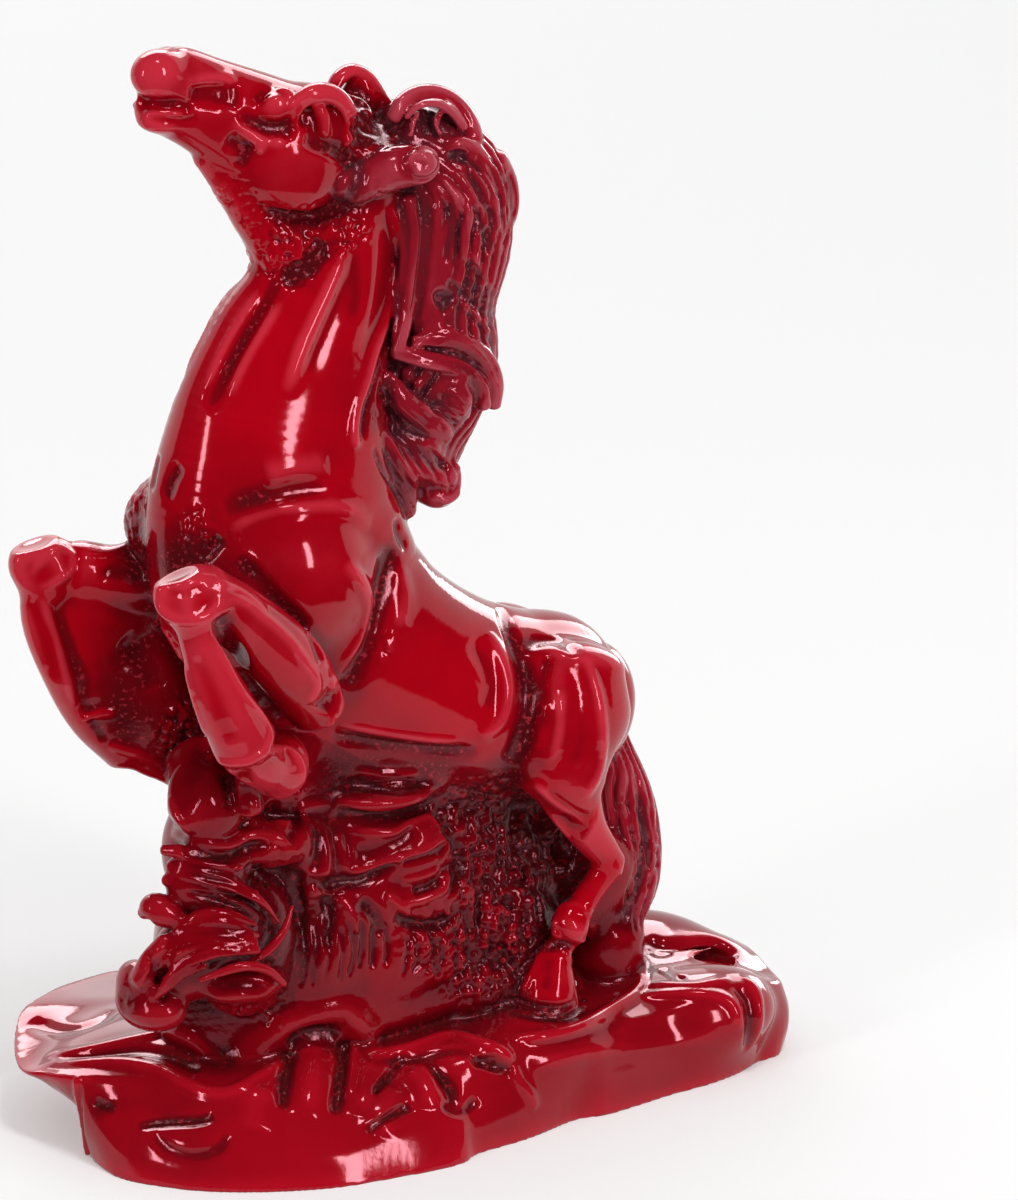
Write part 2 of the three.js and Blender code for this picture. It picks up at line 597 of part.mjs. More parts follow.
// Whole forms, and the same forms grown by the glue gap, which cut their seats.
const HALF_GAP = GLUE_GAP / 2;
const body = bodyForm(0);
const bodyGrown = bodyForm(GLUE_GAP);
const baseGrown = baseForm(GLUE_GAP);
const tailGrown = tailForm(GLUE_GAP);
const pillarGrown = pillarForm(GLUE_GAP);
const hindLegsGrown = [hindLegForm(-1, GLUE_GAP), hindLegForm(1, GLUE_GAP)];
const legsGrown = [leftForelegForm(GLUE_GAP), rightForelegForm(GLUE_GAP), ...hindLegsGrown];
const upperBody = above(body, NECK_PLANE_POINT, NECK_PLANE_NORMAL, HALF_GAP);
const lowerBody = below(body, NECK_PLANE_POINT, NECK_PLANE_NORMAL, HALF_GAP);

function makeTorso() {
  return cutAll(lowerBody, [...legsGrown, tailGrown, neckPeg(GLUE_GAP)]);
}

function makeNeck() {
  const column = below(upperBody, HEAD_PLANE_POINT, HEAD_PLANE_NORMAL, HALF_GAP);
  return cutAll(column.add(neckPeg(0)), [headPeg(GLUE_GAP), manePeg(GLUE_GAP)]);
}

function makeHead() {
  return above(upperBody, HEAD_PLANE_POINT, HEAD_PLANE_NORMAL, HALF_GAP).add(headPeg(0));
}

function makeMane() {
  return maneForm().subtract(bodyGrown).add(manePeg(0));
}

function makeHindLeg(side) {
  return hindLegForm(side, 0).subtract(baseGrown).add(footPeg(side, 0));
}

function makeTail() {
  return cutAll(tailForm(0), [baseGrown, ...hindLegsGrown]).add(tailPeg(0));
}

function makePillar() {
  const seats = [bodyGrown, baseGrown, tailGrown, ...legsGrown, tuftPeg(GLUE_GAP)];
  return cutAll(pillarForm(0), seats).add(pillarPeg(0));
}

function makeTuft() {
  return cutAll(tuftForm(), [pillarGrown, baseGrown, bodyGrown, ...legsGrown]).add(tuftPeg(0));
}

function makeBase() {
  return cutAll(baseForm(0), [pillarPeg(GLUE_GAP), tailPeg(GLUE_GAP), tuftPeg(GLUE_GAP),
    footPeg(-1, GLUE_GAP), footPeg(1, GLUE_GAP)]);
}

// One casting as a mesh, placed at the point where it is seated.
function casting(name, solid, material, seat) {
  const geometry = toGeometry(solid);
  geometry.translate(...reversed(seat));
  const mesh = new THREE.Mesh(geometry, material);
  mesh.name = name;
  mesh.position.set(...seat);
  return mesh;
}

const horse = new THREE.Group();
horse.add(casting('torso', makeTorso(), BODY_RESIN, BARREL[2].slice(0, 3)));
horse.add(casting('neck', makeNeck(), BODY_RESIN, NECK_PLANE_POINT));
horse.add(casting('head', makeHead(), BODY_RESIN, HEAD_PLANE_POINT));
horse.add(casting('mane', makeMane(), HAIR_RESIN, MANE_SEAT));
horse.add(casting('left_foreleg', leftForelegForm(0), BODY_RESIN, LEFT_KNEE_CENTRE));
horse.add(casting('right_foreleg', rightForelegForm(0), BODY_RESIN, RIGHT_KNEE_CENTRE));
horse.add(casting('left_hind_leg', makeHindLeg(-1), BODY_RESIN, footSeat(-1)));
horse.add(casting('right_hind_leg', makeHindLeg(1), BODY_RESIN, footSeat(1)));
horse.add(casting('tail', makeTail(), HAIR_RESIN, TAIL_SEAT));

const ground = new THREE.Group();
ground.add(casting('base', makeBase(), BASE_RESIN, [0, 0, 0]));
ground.add(casting('rock_pillar', makePillar(), ROCK_RESIN, PILLAR_SEAT));
ground.add(casting('grass_tuft', makeTuft(), ROCK_RESIN, TUFT_SEAT));

const figurine = new THREE.Group();
figurine.add(ground, horse);

export default figurine;
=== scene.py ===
"""Rearing horse figurine on a rock base, cast in glossy deep red resin.

The visible skin is carved as one field of distances, in millimetres. Most of its limbs have
the solids' own stations, and many finer forms are laid at pixels of the photograph. Limbs and
lumps are joined with rounded seams, then creases, ridges and pebbled patches are cut into
them. The field is parted into one closed casting for each solid, and neighbouring castings
meet exactly. Left is -Y, the head is at -X.
"""
import logging
import math
from dataclasses import dataclass, field
from enum import Enum, IntEnum
from typing import Iterable, Sequence

import bpy
import numpy as np
from mathutils import Matrix


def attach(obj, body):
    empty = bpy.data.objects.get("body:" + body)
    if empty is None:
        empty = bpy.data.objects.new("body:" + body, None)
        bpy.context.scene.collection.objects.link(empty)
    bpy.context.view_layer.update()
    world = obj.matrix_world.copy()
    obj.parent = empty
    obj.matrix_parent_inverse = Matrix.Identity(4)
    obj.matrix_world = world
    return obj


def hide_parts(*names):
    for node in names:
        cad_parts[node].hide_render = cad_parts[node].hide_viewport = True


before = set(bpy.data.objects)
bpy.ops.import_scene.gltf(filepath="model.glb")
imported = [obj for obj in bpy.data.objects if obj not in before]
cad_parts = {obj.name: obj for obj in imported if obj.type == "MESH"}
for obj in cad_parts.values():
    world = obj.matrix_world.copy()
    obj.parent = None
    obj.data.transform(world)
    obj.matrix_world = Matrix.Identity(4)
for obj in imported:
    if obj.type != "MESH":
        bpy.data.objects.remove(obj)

LOG = logging.getLogger("horse_figurine")
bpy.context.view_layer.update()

# Lengths are in millimetres.
MM = 0.001
GRID_LOW = (-42.2, -20.2, -1.5)
GRID_HIGH = (42.4, 26.4, 118.0)
GRID_STEP = 0.26
FAR = 6.0
BAND = 3.0
SEED = 7

Point = tuple[float, float, float]
Pixel = tuple[float, float]
Colour = tuple[float, float, float]
Row = tuple[float, ...]
Axes = Sequence[np.ndarray]
Pair = tuple[np.ndarray, np.ndarray]


class Piece(IntEnum):
    """Castings, each with the number that marks its part of the field."""

    BASE = 1
    ROCK_PILLAR = 2
    GRASS_TUFT = 3
    TORSO = 4
    NECK = 5
    HEAD = 6
    MANE = 7
    LEFT_FORELEG = 8
    RIGHT_FORELEG = 9
    LEFT_HIND_LEG = 10
    RIGHT_HIND_LEG = 11
    TAIL = 12


class Sides(Enum):
    """Sides of the figure that a stroke is cut into."""

    NEAR = "near"
    BOTH = "both"


def unit(vector: np.ndarray) -> np.ndarray:
    """Return a vector at length one."""
    return vector / np.linalg.norm(vector)


def directions(azimuth: float, elevation: float) -> tuple[np.ndarray, np.ndarray, np.ndarray]:
    """Return the right, up and back directions of what looks at the figure.

    Args:
        azimuth: Turn round the figure, in degrees.
        elevation: Height over the horizon, in degrees.

    Returns:
        Three unit directions.
    """
    turn, lift = math.radians(azimuth), math.radians(elevation)
    back = np.array([math.sin(turn) * math.cos(lift), -math.cos(turn) * math.cos(lift), math.sin(lift)])
    right = np.array([math.cos(turn), math.sin(turn), 0.0])
    return right, np.cross(back, right), back


def stand(axes: Sequence[np.ndarray], place: np.ndarray) -> Matrix:
    """Return the matrix of an object with these axes, at a place in metres."""
    return Matrix.Translation(place) @ Matrix(axes).transposed().to_4x4()


def add_object(name: str, data: bpy.types.ID) -> bpy.types.Object:
    """Return a new object of the scene.

    Args:
        name: Name of the object.
        data: Its mesh, lamp or camera.

    Returns:
        The object.
    """
    obj = bpy.data.objects.new(name, data)
    bpy.context.scene.collection.objects.link(obj)
    return obj


@dataclass(frozen=True)
class PhotoView:
    """Camera of the photograph: its angle, its distance and its frame in pixels."""

    azimuth: float = -30.0
    elevation: float = 18.0
    distance: float = 800.0
    focal: float = 7880.0
    aim: Point = (7.616, -6.337, 54.829)
    frame_size: tuple[int, int] = (1018, 1200)
    sensor: float = 36.0

    def axes(self) -> tuple[np.ndarray, np.ndarray, np.ndarray]:
        """Return the right, up and back directions of the camera."""
        return directions(self.azimuth, self.elevation)

    def place(self) -> np.ndarray:
        """Return the camera's place in millimetres."""
        return np.array(self.aim) + self.axes()[2] * self.distance

    def rays(self, pixels: np.ndarray) -> np.ndarray:
        """Return the unit directions through pixels.

        Args:
            pixels: Array of x and y in the photograph's own pixels.

        Returns:
            One direction a row.
        """
        right, up, back = self.axes()
        across = (pixels[:, :1] - self.frame_size[0] / 2) / self.focal
        down = (pixels[:, 1:2] - self.frame_size[1] / 2) / self.focal
        ways = right * across - up * down - back
        return ways / np.linalg.norm(ways, axis=1, keepdims=True)

    def at(self, x: float, y: float, side: float) -> Point:
        """Return the point seen at a pixel.

        Args:
            x: Pixels from the photograph's left edge.
            y: Pixels from its top edge.
            side: Y of the plane that the pixel's ray meets, in millimetres.

        Returns:
            The point, in millimetres.
        """
        way = self.rays(np.array([[x, y]]))[0]
        start = self.place()
        return tuple(start + way * ((side - start[1]) / way[1]))

    def add_camera(self) -> None:
        """Put the camera into the scene, with the whole frame on its long side."""
        data = bpy.data.cameras.new("photo_camera")
        data.sensor_width = self.sensor
        data.lens = self.focal * self.sensor / self.frame_size[1]
        data.clip_start, data.clip_end = 0.01, 20.0
        camera = add_object("photo_camera", data)
        camera.matrix_world = stand(self.axes(), self.place() * MM)
        bpy.context.scene.camera = camera


VIEW = PhotoView()


def curve_through(points: Sequence[Sequence[float]], per_span: int) -> np.ndarray:
    """Return points along a smooth curve through the given ones.

    Args:
        points: Rows of any length; the first three or two numbers are the place.
        per_span: Steps from one given point to the next.

    Returns:
        Rows of the same kind, which pass through every given one.
    """
    rows = np.array(points, dtype=float)
    if len(rows) == 2:
        share = np.linspace(0, 1, per_span + 1)[:, None]
        return rows[0] * (1 - share) + rows[1] * share
    ends = [2 * rows[0] - rows[1], *rows, 2 * rows[-1] - rows[-2]]
    result = []
    for k in range(len(rows) - 1):
        before, start, stop, after = ends[k:k + 4]
        gaps = [max(np.linalg.norm(b - a) ** 0.5, 1e-6) for a, b in
                ((before, start), (start, stop), (stop, after))]
        leave = (start - before) / gaps[0] - (stop - before) / (gaps[0] + gaps[1]) + (stop - start) / gaps[1]
        reach = (stop - start) / gaps[1] - (after - start) / (gaps[1] + gaps[2]) + (after - stop) / gaps[2]
        leave, reach = leave * gaps[1], reach * gaps[1]
        for share in np.arange(per_span) / per_span:
            result.append(start + leave * share
                          + (3 * (stop - start) - 2 * leave - reach) * share ** 2
                          + (2 * (start - stop) + leave + reach) * share ** 3)
    result.append(rows[-1])
    return np.array(result)


def soft_min(first: np.ndarray, second: np.ndarray, blend: float) -> np.ndarray:
    """Join two distances with a rounded seam.

    Args:
        first: Distances to one form.
        second: Distances to the other.
        blend: Reach of the rounding, in millimetres.

    Returns:
        The lesser of the two, lower still where they meet.
    """
    if blend <= 0:
        return np.minimum(first, second)
    meet = np.maximum(blend - np.abs(first - second), 0)
    return np.minimum(first, second) - meet * meet / (4 * blend)


def oval_distance(parts: Sequence[np.ndarray], radii: Sequence[np.ndarray | float]) -> np.ndarray:
    """Return the distance to an oval.

    Args:
        parts: Coordinates along each of its axes.
        radii: Its radius along each of them.

    Returns:
        Distances, close to true near the surface.
    """
    inner = np.sqrt(sum((part / radius) ** 2 for part, radius in zip(parts, radii)))
    steep = np.sqrt(sum((part / radius ** 2) ** 2 for part, radius in zip(parts, radii)))
    return inner * (inner - 1) / np.maximum(steep, 1e-4)


def sub_grid(axes: Axes, low: np.ndarray, high: np.ndarray) -> tuple[slice, slice, slice]:
    """Return the slices of a grid that lie between two corners."""
    return tuple(slice(int(np.searchsorted(axis, a)), int(np.searchsorted(axis, b)))
                 for axis, a, b in zip(axes, low, high))


def nearest_on_path(path: np.ndarray, axes: Axes, reach: float) -> Pair:
    """Find the nearest place of a path for each point of a grid.

    Args:
        path: Places along the path.
        axes: Sorted x, y and z coordinates of the grid.
        reach: How far round the path the grid is looked at.

    Returns:
        Squared distances, and places counted in steps of the path.
    """
    shape = tuple(len(axis) for axis in axes)
    nearest = np.full(shape, np.inf, np.float32)
    along = np.zeros(shape, np.float32)
    for k, (start, stop) in enumerate(zip(path, path[1:])):
        way = stop - start
        room = sub_grid(axes, np.minimum(start, stop) - reach, np.maximum(start, stop) + reach)
        x, y, z = (axis[part].astype(np.float32) - origin for axis, part, origin in zip(axes, room, start))
        rel = (x[:, None, None], y[None, :, None], z[None, None, :])
        share = np.clip(sum(r * w for r, w in zip(rel, way)) / max(way @ way, 1e-9), 0, 1)
        gap = sum((r - share * w) ** 2 for r, w in zip(rel, way))
        closer = gap < nearest[room]
        nearest[room] = np.where(closer, gap, nearest[room])
        along[room] = np.where(closer, k + share, along[room])
    return nearest, along


@dataclass(frozen=True)
class Limb:
    """Oval body along a smooth spine, with a dome at each end.

    Stations are x, y, z, share of the half width, share of the half depth. A limb of hair is
    grooved all round by a number of strands.
    """

    stations: Sequence[Sequence[float]]
    half_width: float
    half_depth: float
    per_span: int = 5
    dome: float = 0.62
    strands: int = 0
    groove: float = 0.0

    def mirrored(self) -> "Limb":
        """Return the same limb on the other side."""
        turned = tuple((row[0], -row[1], *row[2:]) for row in self.stations)
        return Limb(turned, self.half_width, self.half_depth, self.per_span, self.dome)

    def spine(self) -> Pair:
        """Return places along the spine and the two half sizes there."""
        rows = curve_through(self.stations, self.per_span)
        return rows[:, :3], rows[:, 3:5] * (self.half_width, self.half_depth)

    def box(self) -> Pair:
        """Find the room that the limb can fill.

        Returns:
            Its lowest and its highest corner.
        """
        places, sizes = self.spine()
        reach = sizes.max()
        return places.min(0) - reach, places.max(0) + reach

    def distance(self, axes: Axes) -> np.ndarray:
        """Return the distance at each point of a grid.

        Args:
            axes: Sorted x, y and z coordinates of the grid.

        Returns:
            Array of the grid's shape.
        """
        places, sizes = self.spine()
        reach = sizes.max() + BAND
        nearest, along = nearest_on_path(places, axes, reach)
        result = np.full(nearest.shape, FAR, np.float32)
        i, j, k = np.nonzero(nearest < reach * reach)
        place = along[i, j, k]
        ways = np.gradient(places, axis=0)
        ways /= np.linalg.norm(ways, axis=1, keepdims=True)
        across = np.array([0.0, 1.0, 0.0]) - ways * ways[:, 1:2]
        across /= np.linalg.norm(across, axis=1, keepdims=True)
        upward = np.cross(ways, across)
        steps = np.arange(len(places))
        rel = [axes[n][index] - np.interp(place, steps, places[:, n]) for n, index in enumerate((i, j, k))]
        parts = [sum(rel[n] * np.interp(place, steps, frame_row[:, n]) for n in range(3))
                 for frame_row in (across, upward, ways)]
        wide = np.interp(place, steps, sizes[:, 0])
        deep = np.interp(place, steps, sizes[:, 1])
        parts[2] = np.where((place <= 0) | (place >= len(places) - 1), parts[2], 0)
        result[i, j, k] = oval_distance(parts, (wide, deep, np.minimum(wide, deep) * self.dome))
        if self.strands:
            angle = np.arctan2(parts[1] / deep, parts[0] / wide)
            fade = np.clip(np.minimum(place, len(places) - 1 - place) / self.per_span, 0, 1)
            result[i, j, k] += self.grooves(angle, place / self.per_span, fade)
        return result

    def grooves(self, angle: np.ndarray, along: np.ndarray, fade: np.ndarray) -> np.ndarray:
        """Return how deep the grooves between the wavy strands are.

        Args:
            angle: Angles round the limb.
            along: Stations passed since its start.
            fade: Share of the depth that is left near the ends.

        Returns:
            Depths in millimetres.
        """
        slow_wave = 0.9 * np.sin(along * 1.9)
        quick_wave = 0.35 * np.sin(along * 4.3 + 3 * angle)
        crest = np.abs(np.sin(self.strands / 2 * angle + (slow_wave + quick_wave) * 2))
        uneven = 0.7 + 0.3 * np.sin(5 * angle + along * 2)
        return self.groove * fade * uneven * (1 - crest) ** 2


@dataclass(frozen=True)
class Lump:
    """Rounded lump: an oval ball, turned in the side view, with flats cut off it if asked."""

    centre: Point
    radii: Point
    turn: float = 0.0
    flats: int = 0
    flat_depth: float = 0.16
    edge: float = 0.7

    def mirrored(self) -> "Lump":
        """Return the same lump on the other side."""
        x, y, z = self.centre
        return Lump((x, -y, z), self.radii, self.turn, self.flats, self.flat_depth, self.edge)

    def box(self) -> Pair:
        """Return the corners of the room that the lump can fill."""
        reach = max(self.radii)
        return np.array(self.centre) - reach, np.array(self.centre) + reach

    def distance(self, axes: Axes) -> np.ndarray:
        """Return the distance at each point of a grid.

        Args:
            axes: Sorted x, y and z coordinates of the grid.

        Returns:
            Array of the grid's shape.
        """
        x = (axes[0] - self.centre[0])[:, None, None].astype(np.float32)
        y = (axes[1] - self.centre[1])[None, :, None].astype(np.float32)
        z = (axes[2] - self.centre[2])[None, None, :].astype(np.float32)
        turn = math.radians(self.turn)
        parts = (x * math.cos(turn) - z * math.sin(turn), y, x * math.sin(turn) + z * math.cos(turn))
        result = oval_distance(parts, self.radii)
        draw = np.random.default_rng(abs(int(self.centre[0] * 10)) * 31 + abs(int(self.centre[2] * 10)))
        for _ in range(self.flats):
            way = unit(draw.normal(size=3))
            reach = np.linalg.norm(way * self.radii) * (1 - self.flat_depth * draw.uniform(0.3, 1.3))
            flat = sum(part * float(w) for part, w in zip(parts, way)) - reach
            result = -soft_min(-result, -flat, self.edge)
        return result


@dataclass(frozen=True)
class Stroke:
    """Crease or ridge along a line of the photograph.

    Pixels are x and y in its frame. A negative depth raises a ridge. Width is the half width of
    the rounded profile. Both sizes are in millimetres. Fade is the share of the length over which
    each end runs out.
    """

    pixels: Sequence[Pixel]
    depth: float
    width: float
    fade: float = 0.25

    def reach(self) -> float:
        """Return how far from its line the stroke still cuts."""
        return 2.3 * self.width


@dataclass(frozen=True)
class Comb:
    """Strands that run between two lines of the photograph, sizes as for a stroke."""

    first: Sequence[Pixel]
    last: Sequence[Pixel]
    count: int
    depth: float = 0.6
    width: float = 0.3
    wander: float = 1.2

    def strokes(self) -> list[Stroke]:
        """Lay the strands side by side, each a little off its place and bent.

        Returns:
            One stroke for each strand.
        """
        draw = np.random.default_rng(int(self.first[0][0] * 7 + self.last[0][1]))
        steps = np.linspace(0, 1, 9)
        edges = []
        for line in (self.first, self.last):
            fine = curve_through(line, 8)
            gone = np.concatenate([[0], np.cumsum(np.linalg.norm(np.diff(fine, axis=0), axis=1))])
            edges.append(np.stack([np.interp(steps * gone[-1], gone, fine[:, n]) for n in range(2)], 1))
        strokes = []
        for k in range(self.count):
            share = (k + 0.5 + draw.uniform(-0.25, 0.25)) / self.count
            bend = np.sin(steps * draw.uniform(4, 8) + draw.uniform(0, 6))[:, None] * self.wander
            line = edges[0] * (1 - share) + edges[1] * share + bend
            start, stop = draw.integers(0, 2), 9 - draw.integers(0, 2)
            strokes.append(Stroke([tuple(spot) for spot in line[start:stop]],
                                  self.depth * draw.uniform(0.6, 1.3), self.width * draw.uniform(0.85, 1.2)))
        return strokes


def score(depth: float, width: float, *numbers: float, fade: float = 0.25) -> Stroke:
    """Return a stroke of a depth and half width in millimetres, its pixels given as x, y, x, y."""
    return Stroke(tuple(zip(numbers[::2], numbers[1::2])), depth, width, fade)


class Field:
    """Distances in millimetres on a regular grid, negative inside.

    Each point also has the piece that owns it, and how deep strokes have scored it.
    """

    def __init__(self, low: Point, high: Point, step: float) -> None:
        """Lay out the grid.

        Args:
            low: Its lowest corner, in millimetres.
            high: Its highest corner.
            step: Distance between its points.
        """
        self.step = step
        self.axes = [np.arange(a, b + step, step) for a, b in zip(low, high)]
        shape = tuple(len(axis) for axis in self.axes)
        self.value = np.full(shape, FAR, np.float32)
        self.nearest = np.full(shape, FAR, np.float32)
        self.owner = np.zeros(shape, np.uint8)
        self.scored = np.zeros(shape, np.float32)

    def room(self, low: np.ndarray, high: np.ndarray) -> tuple[tuple[slice, ...], list[np.ndarray]]:
        """Return the slices between two corners, and the coordinates there."""
        slices = sub_grid(self.axes, low, high)
        return slices, [axis[part] for axis, part in zip(self.axes, slices)]

    def add(self, forms: Iterable[Limb | Lump], piece: Piece, blend: float) -> None:
        """Join forms to the field.

        Args:
            forms: Limbs and lumps of one casting.
            piece: The casting that they belong to.
            blend: Rounding of the joint with what is there, in millimetres.
        """
        for form in forms:
            low, high = form.box()
            slices, axes = self.room(low - BAND, high + BAND)
            gap = form.distance(axes).astype(np.float32)
            closer = gap < self.nearest[slices]
            self.owner[slices] = np.where(closer, np.uint8(piece), self.owner[slices])
            self.nearest[slices] = np.where(closer, gap, self.nearest[slices])
            self.value[slices] = soft_min(self.value[slices], gap, blend)

    def cut(self, forms: Iterable[Limb | Lump], blend: float) -> None:
        """Hollow forms out of the field.

        Args:
            forms: Limbs and lumps to take away.
            blend: Rounding of the rim, in millimetres.
        """
        for form in forms:
            low, high = form.box()
            slices, axes = self.room(low - BAND, high + BAND)
            self.value[slices] = -soft_min(-self.value[slices], form.distance(axes).astype(np.float32), blend)

    def past(self, plane: Row) -> np.ndarray:
        """Tell which grid points lie past a plane: x and z of its place, x and z of its direction."""
        x, z, way_x, way_z = plane
        return (self.axes[0] - x)[:, None, None] * way_x + (self.axes[2] - z)[None, None, :] * way_z > 0

    def sample(self, points: np.ndarray, values: np.ndarray | None = None) -> np.ndarray:
        """Read the field between its grid points.

        Args:
            points: Places, one a row.
            values: Grid to read in place of the distances.

        Returns:
            One value for each place.
        """
        grid = self.value if values is None else values
        place = [(points[:, n] - self.axes[n][0]) / self.step for n in range(3)]
        low = [np.clip(p.astype(np.int32), 0, grid.shape[n] - 2) for n, p in enumerate(place)]
        share = [np.clip(p - q, 0, 1).astype(np.float32) for p, q in zip(place, low)]
        total = np.zeros(len(points), np.float32)
        for corner in range(8):
            bits = [(corner >> n) & 1 for n in range(3)]
            weight = np.ones(len(points), np.float32)
            for n in range(3):
                weight *= share[n] if bits[n] else 1 - share[n]
            total += weight * grid[low[0] + bits[0], low[1] + bits[1], low[2] + bits[2]]
        return total

    def slope(self, points: np.ndarray, reach: float) -> np.ndarray:
        """Return the direction in which the field rises.

        Args:
            points: Places, one a row.
            reach: How far to each side the field is read.

        Returns:
            One direction for each place, not scaled to length one.
        """
        rows = []
        for n in range(3):
            shift = np.zeros(3)
            shift[n] = reach
            rows.append((self.sample(points + shift) - self.sample(points - shift)) / (2 * reach))
        return np.stack(rows, 1)

    def cast(self, starts: np.ndarray, ways: np.ndarray, length: float) -> Pair:
        """Follow rays to the surface.

        Args:
            starts: Where each ray starts.
            ways: Unit direction of each ray.
            length: How far each ray may go.

        Returns:
            The last place of each ray, and whether it met the surface.
        """
        skin, stride, shortest, longest = 0.02, 0.6, 0.08, 1.5
        gone = np.zeros(len(starts))
        met = np.zeros(len(starts), bool)
        going = np.arange(len(starts))
        while len(going):
            value = self.sample(starts[going] + ways[going] * gone[going, None])
            met[going] = value < skin
            gone[going] += np.where(met[going], 0, np.clip(value * stride, shortest, longest))
            going = going[~met[going] & (gone[going] < length)]
        return starts + ways * gone[:, None], met

    def look(self, pixels: np.ndarray, ahead: float = 700.0, length: float = 180.0) -> Pair:
        """Return the place that the camera sees at each pixel, and whether there is one."""
        ways = VIEW.rays(pixels)
        return self.cast(VIEW.place()[None] + ways * ahead, ways, length)

    def look_across(self, places: np.ndarray, start: float = 32.0, length: float = 60.0,
                    slack: float = 5.0) -> Pair:
        """Find the far side's places that mirror those of the near side.

        Args:
            places: Places on the near side.
            start: Y from which the far side is searched.
            length: How far the search goes.
            slack: How far from the mirrored place the surface may lie.

        Returns:
            The places, and whether each lies near its mirrored place.
        """
        mirror = places * (1, -1, 1)
        starts = mirror.copy()
        starts[:, 1] = start
        far, met = self.cast(starts, np.repeat([[0.0, -1.0, 0.0]], len(starts), 0), length)
        return far, met & (np.abs(far[:, 1] - mirror[:, 1]) < slack)

    def engrave(self, path: np.ndarray, stroke: Stroke) -> None:
        """Cut one stroke.

        Args:
            path: Places along it on the surface.
            stroke: Its depth, width and fade.
        """
        reach = stroke.reach()
        slices, axes = self.room(path.min(0) - reach, path.max(0) + reach)
        if any(len(axis) == 0 for axis in axes):
            return
        nearest, along = nearest_on_path(path, axes, reach)
        along /= len(path) - 1
        ends = np.clip(np.minimum(along, 1 - along) / max(stroke.fade, 1e-3), 0, 1)
        ends = ends * (2 - ends)
        cut = stroke.depth * np.exp(-nearest / stroke.width ** 2) * ends
        self.value[slices] += cut
        self.scored[slices] += cut * min(1.0, 0.4 / stroke.width)

    def draw(self, strokes: Sequence[Stroke], sides: Sides = Sides.NEAR) -> None:
        """Cut strokes of the photograph into the surface that the camera sees.

        Args:
            strokes: The strokes, in the photograph's pixels.
            sides: Whether the far side gets the same strokes, mirrored.
        """
        if not strokes:
            return
        pixels_a_step = 3.0
        lines = []
        for stroke in strokes:
            flat = np.array(stroke.pixels, dtype=float)
            length = np.linalg.norm(np.diff(flat, axis=0), axis=1).sum()
            lines.append(curve_through(flat, max(2, int(length / (pixels_a_step * (len(flat) - 1))))))
        ends = np.cumsum([0] + [len(line) for line in lines])
        places, met = self.look(np.concatenate(lines))
        if sides is Sides.BOTH:
            far, met_far = self.look_across(places)
            met_far &= met
        for stroke, first, last in zip(strokes, ends[:-1], ends[1:]):
            self.engrave_runs(places[first:last], met[first:last], stroke)
            if sides is Sides.BOTH:
                self.engrave_runs(far[first:last], met_far[first:last], stroke)

    def engrave_runs(self, places: np.ndarray, met: np.ndarray, stroke: Stroke, jump: float = 1.6) -> None:
        """Cut a stroke wherever its path runs on without a jump.

        Args:
            places: Places along the stroke.
            met: Whether each lies on the surface.
            stroke: Its depth, width and fade.
            jump: Longest step between places of one run.
        """
        start = 0
        for k in range(1, len(places) + 1):
            whole = k < len(places) and met[k] and met[k - 1]
            if whole and np.linalg.norm(places[k] - places[k - 1]) < jump:
                continue
            if k - start > 1 and met[start]:
                self.engrave(places[start:k], stroke)
            start = k

    def roughen(self, patches: Iterable[Row], sides: Sides = Sides.NEAR) -> None:
        """Raise pebbles over patches of the surface that the camera sees.

        Args:
            patches: Pixel x and y, and radius, height and grain of the pebbles in millimetres.
            sides: Whether the far side gets the same patches, mirrored.
        """
        for x, y, radius, height, grain in patches:
            centre, met = self.look(np.array([[x, y]]), ahead=720.0, length=160.0)
            if not met[0]:
                continue
            centres = [centre[0]]
            if sides is Sides.BOTH:
                centres.append(centre[0] * (1, -1, 1))
            for middle in centres:
                slices, axes = self.room(middle - radius, middle + radius)
                bumps = pebbles(axes, grain)
                away = sum(((axis - origin) ** 2).reshape([-1 if n == m else 1 for m in range(3)])
                           for n, (axis, origin) in enumerate(zip(axes, middle)))
                inside = np.clip(1.25 * (1 - away / radius ** 2), 0, 1)
                self.value[slices] -= (height * (bumps - 0.4) * inside).astype(np.float32)


def pebbles(axes: Axes, grain: float) -> np.ndarray:
    """Return rounded pebbles, from 0 in the gaps to 1 on top.

    Args:
        axes: Sorted x, y and z coordinates of the grid.
        grain: Spacing of the pebbles in millimetres.

    Returns:
        Array of the grid's shape.
    """
    primes = (73856093, 19349663, 83492791)
    cells = [np.floor(axis / grain).astype(int) for axis in axes]
    local = [axis / grain - cell for axis, cell in zip(axes, cells)]
    shape = tuple(len(axis) for axis in axes)
    nearest = np.full(shape, 9.0, np.float32)
    for shift in np.ndindex(3, 3, 3):
        steps = [n - 1 for n in shift]
        ids = [(cell + s).reshape([-1 if n == m else 1 for m in range(3)])
               for n, (cell, s) in enumerate(zip(cells, steps))]
        mixed = (ids[0] * primes[0]) ^ (ids[1] * primes[1]) ^ (ids[2] * primes[2])
        away = np.zeros(shape, np.float32)
        for n in range(3):
            jitter = ((mixed * (n * 2 + 3) * 2654435761) >> 7) % 1024 / 1024.0
            here = local[n].reshape([-1 if n == m else 1 for m in range(3)])
            away += (here - steps[n] - 0.15 - 0.7 * jitter) ** 2
        nearest = np.minimum(nearest, away)
    return np.clip(1 - 1.5 * nearest, 0, 1)


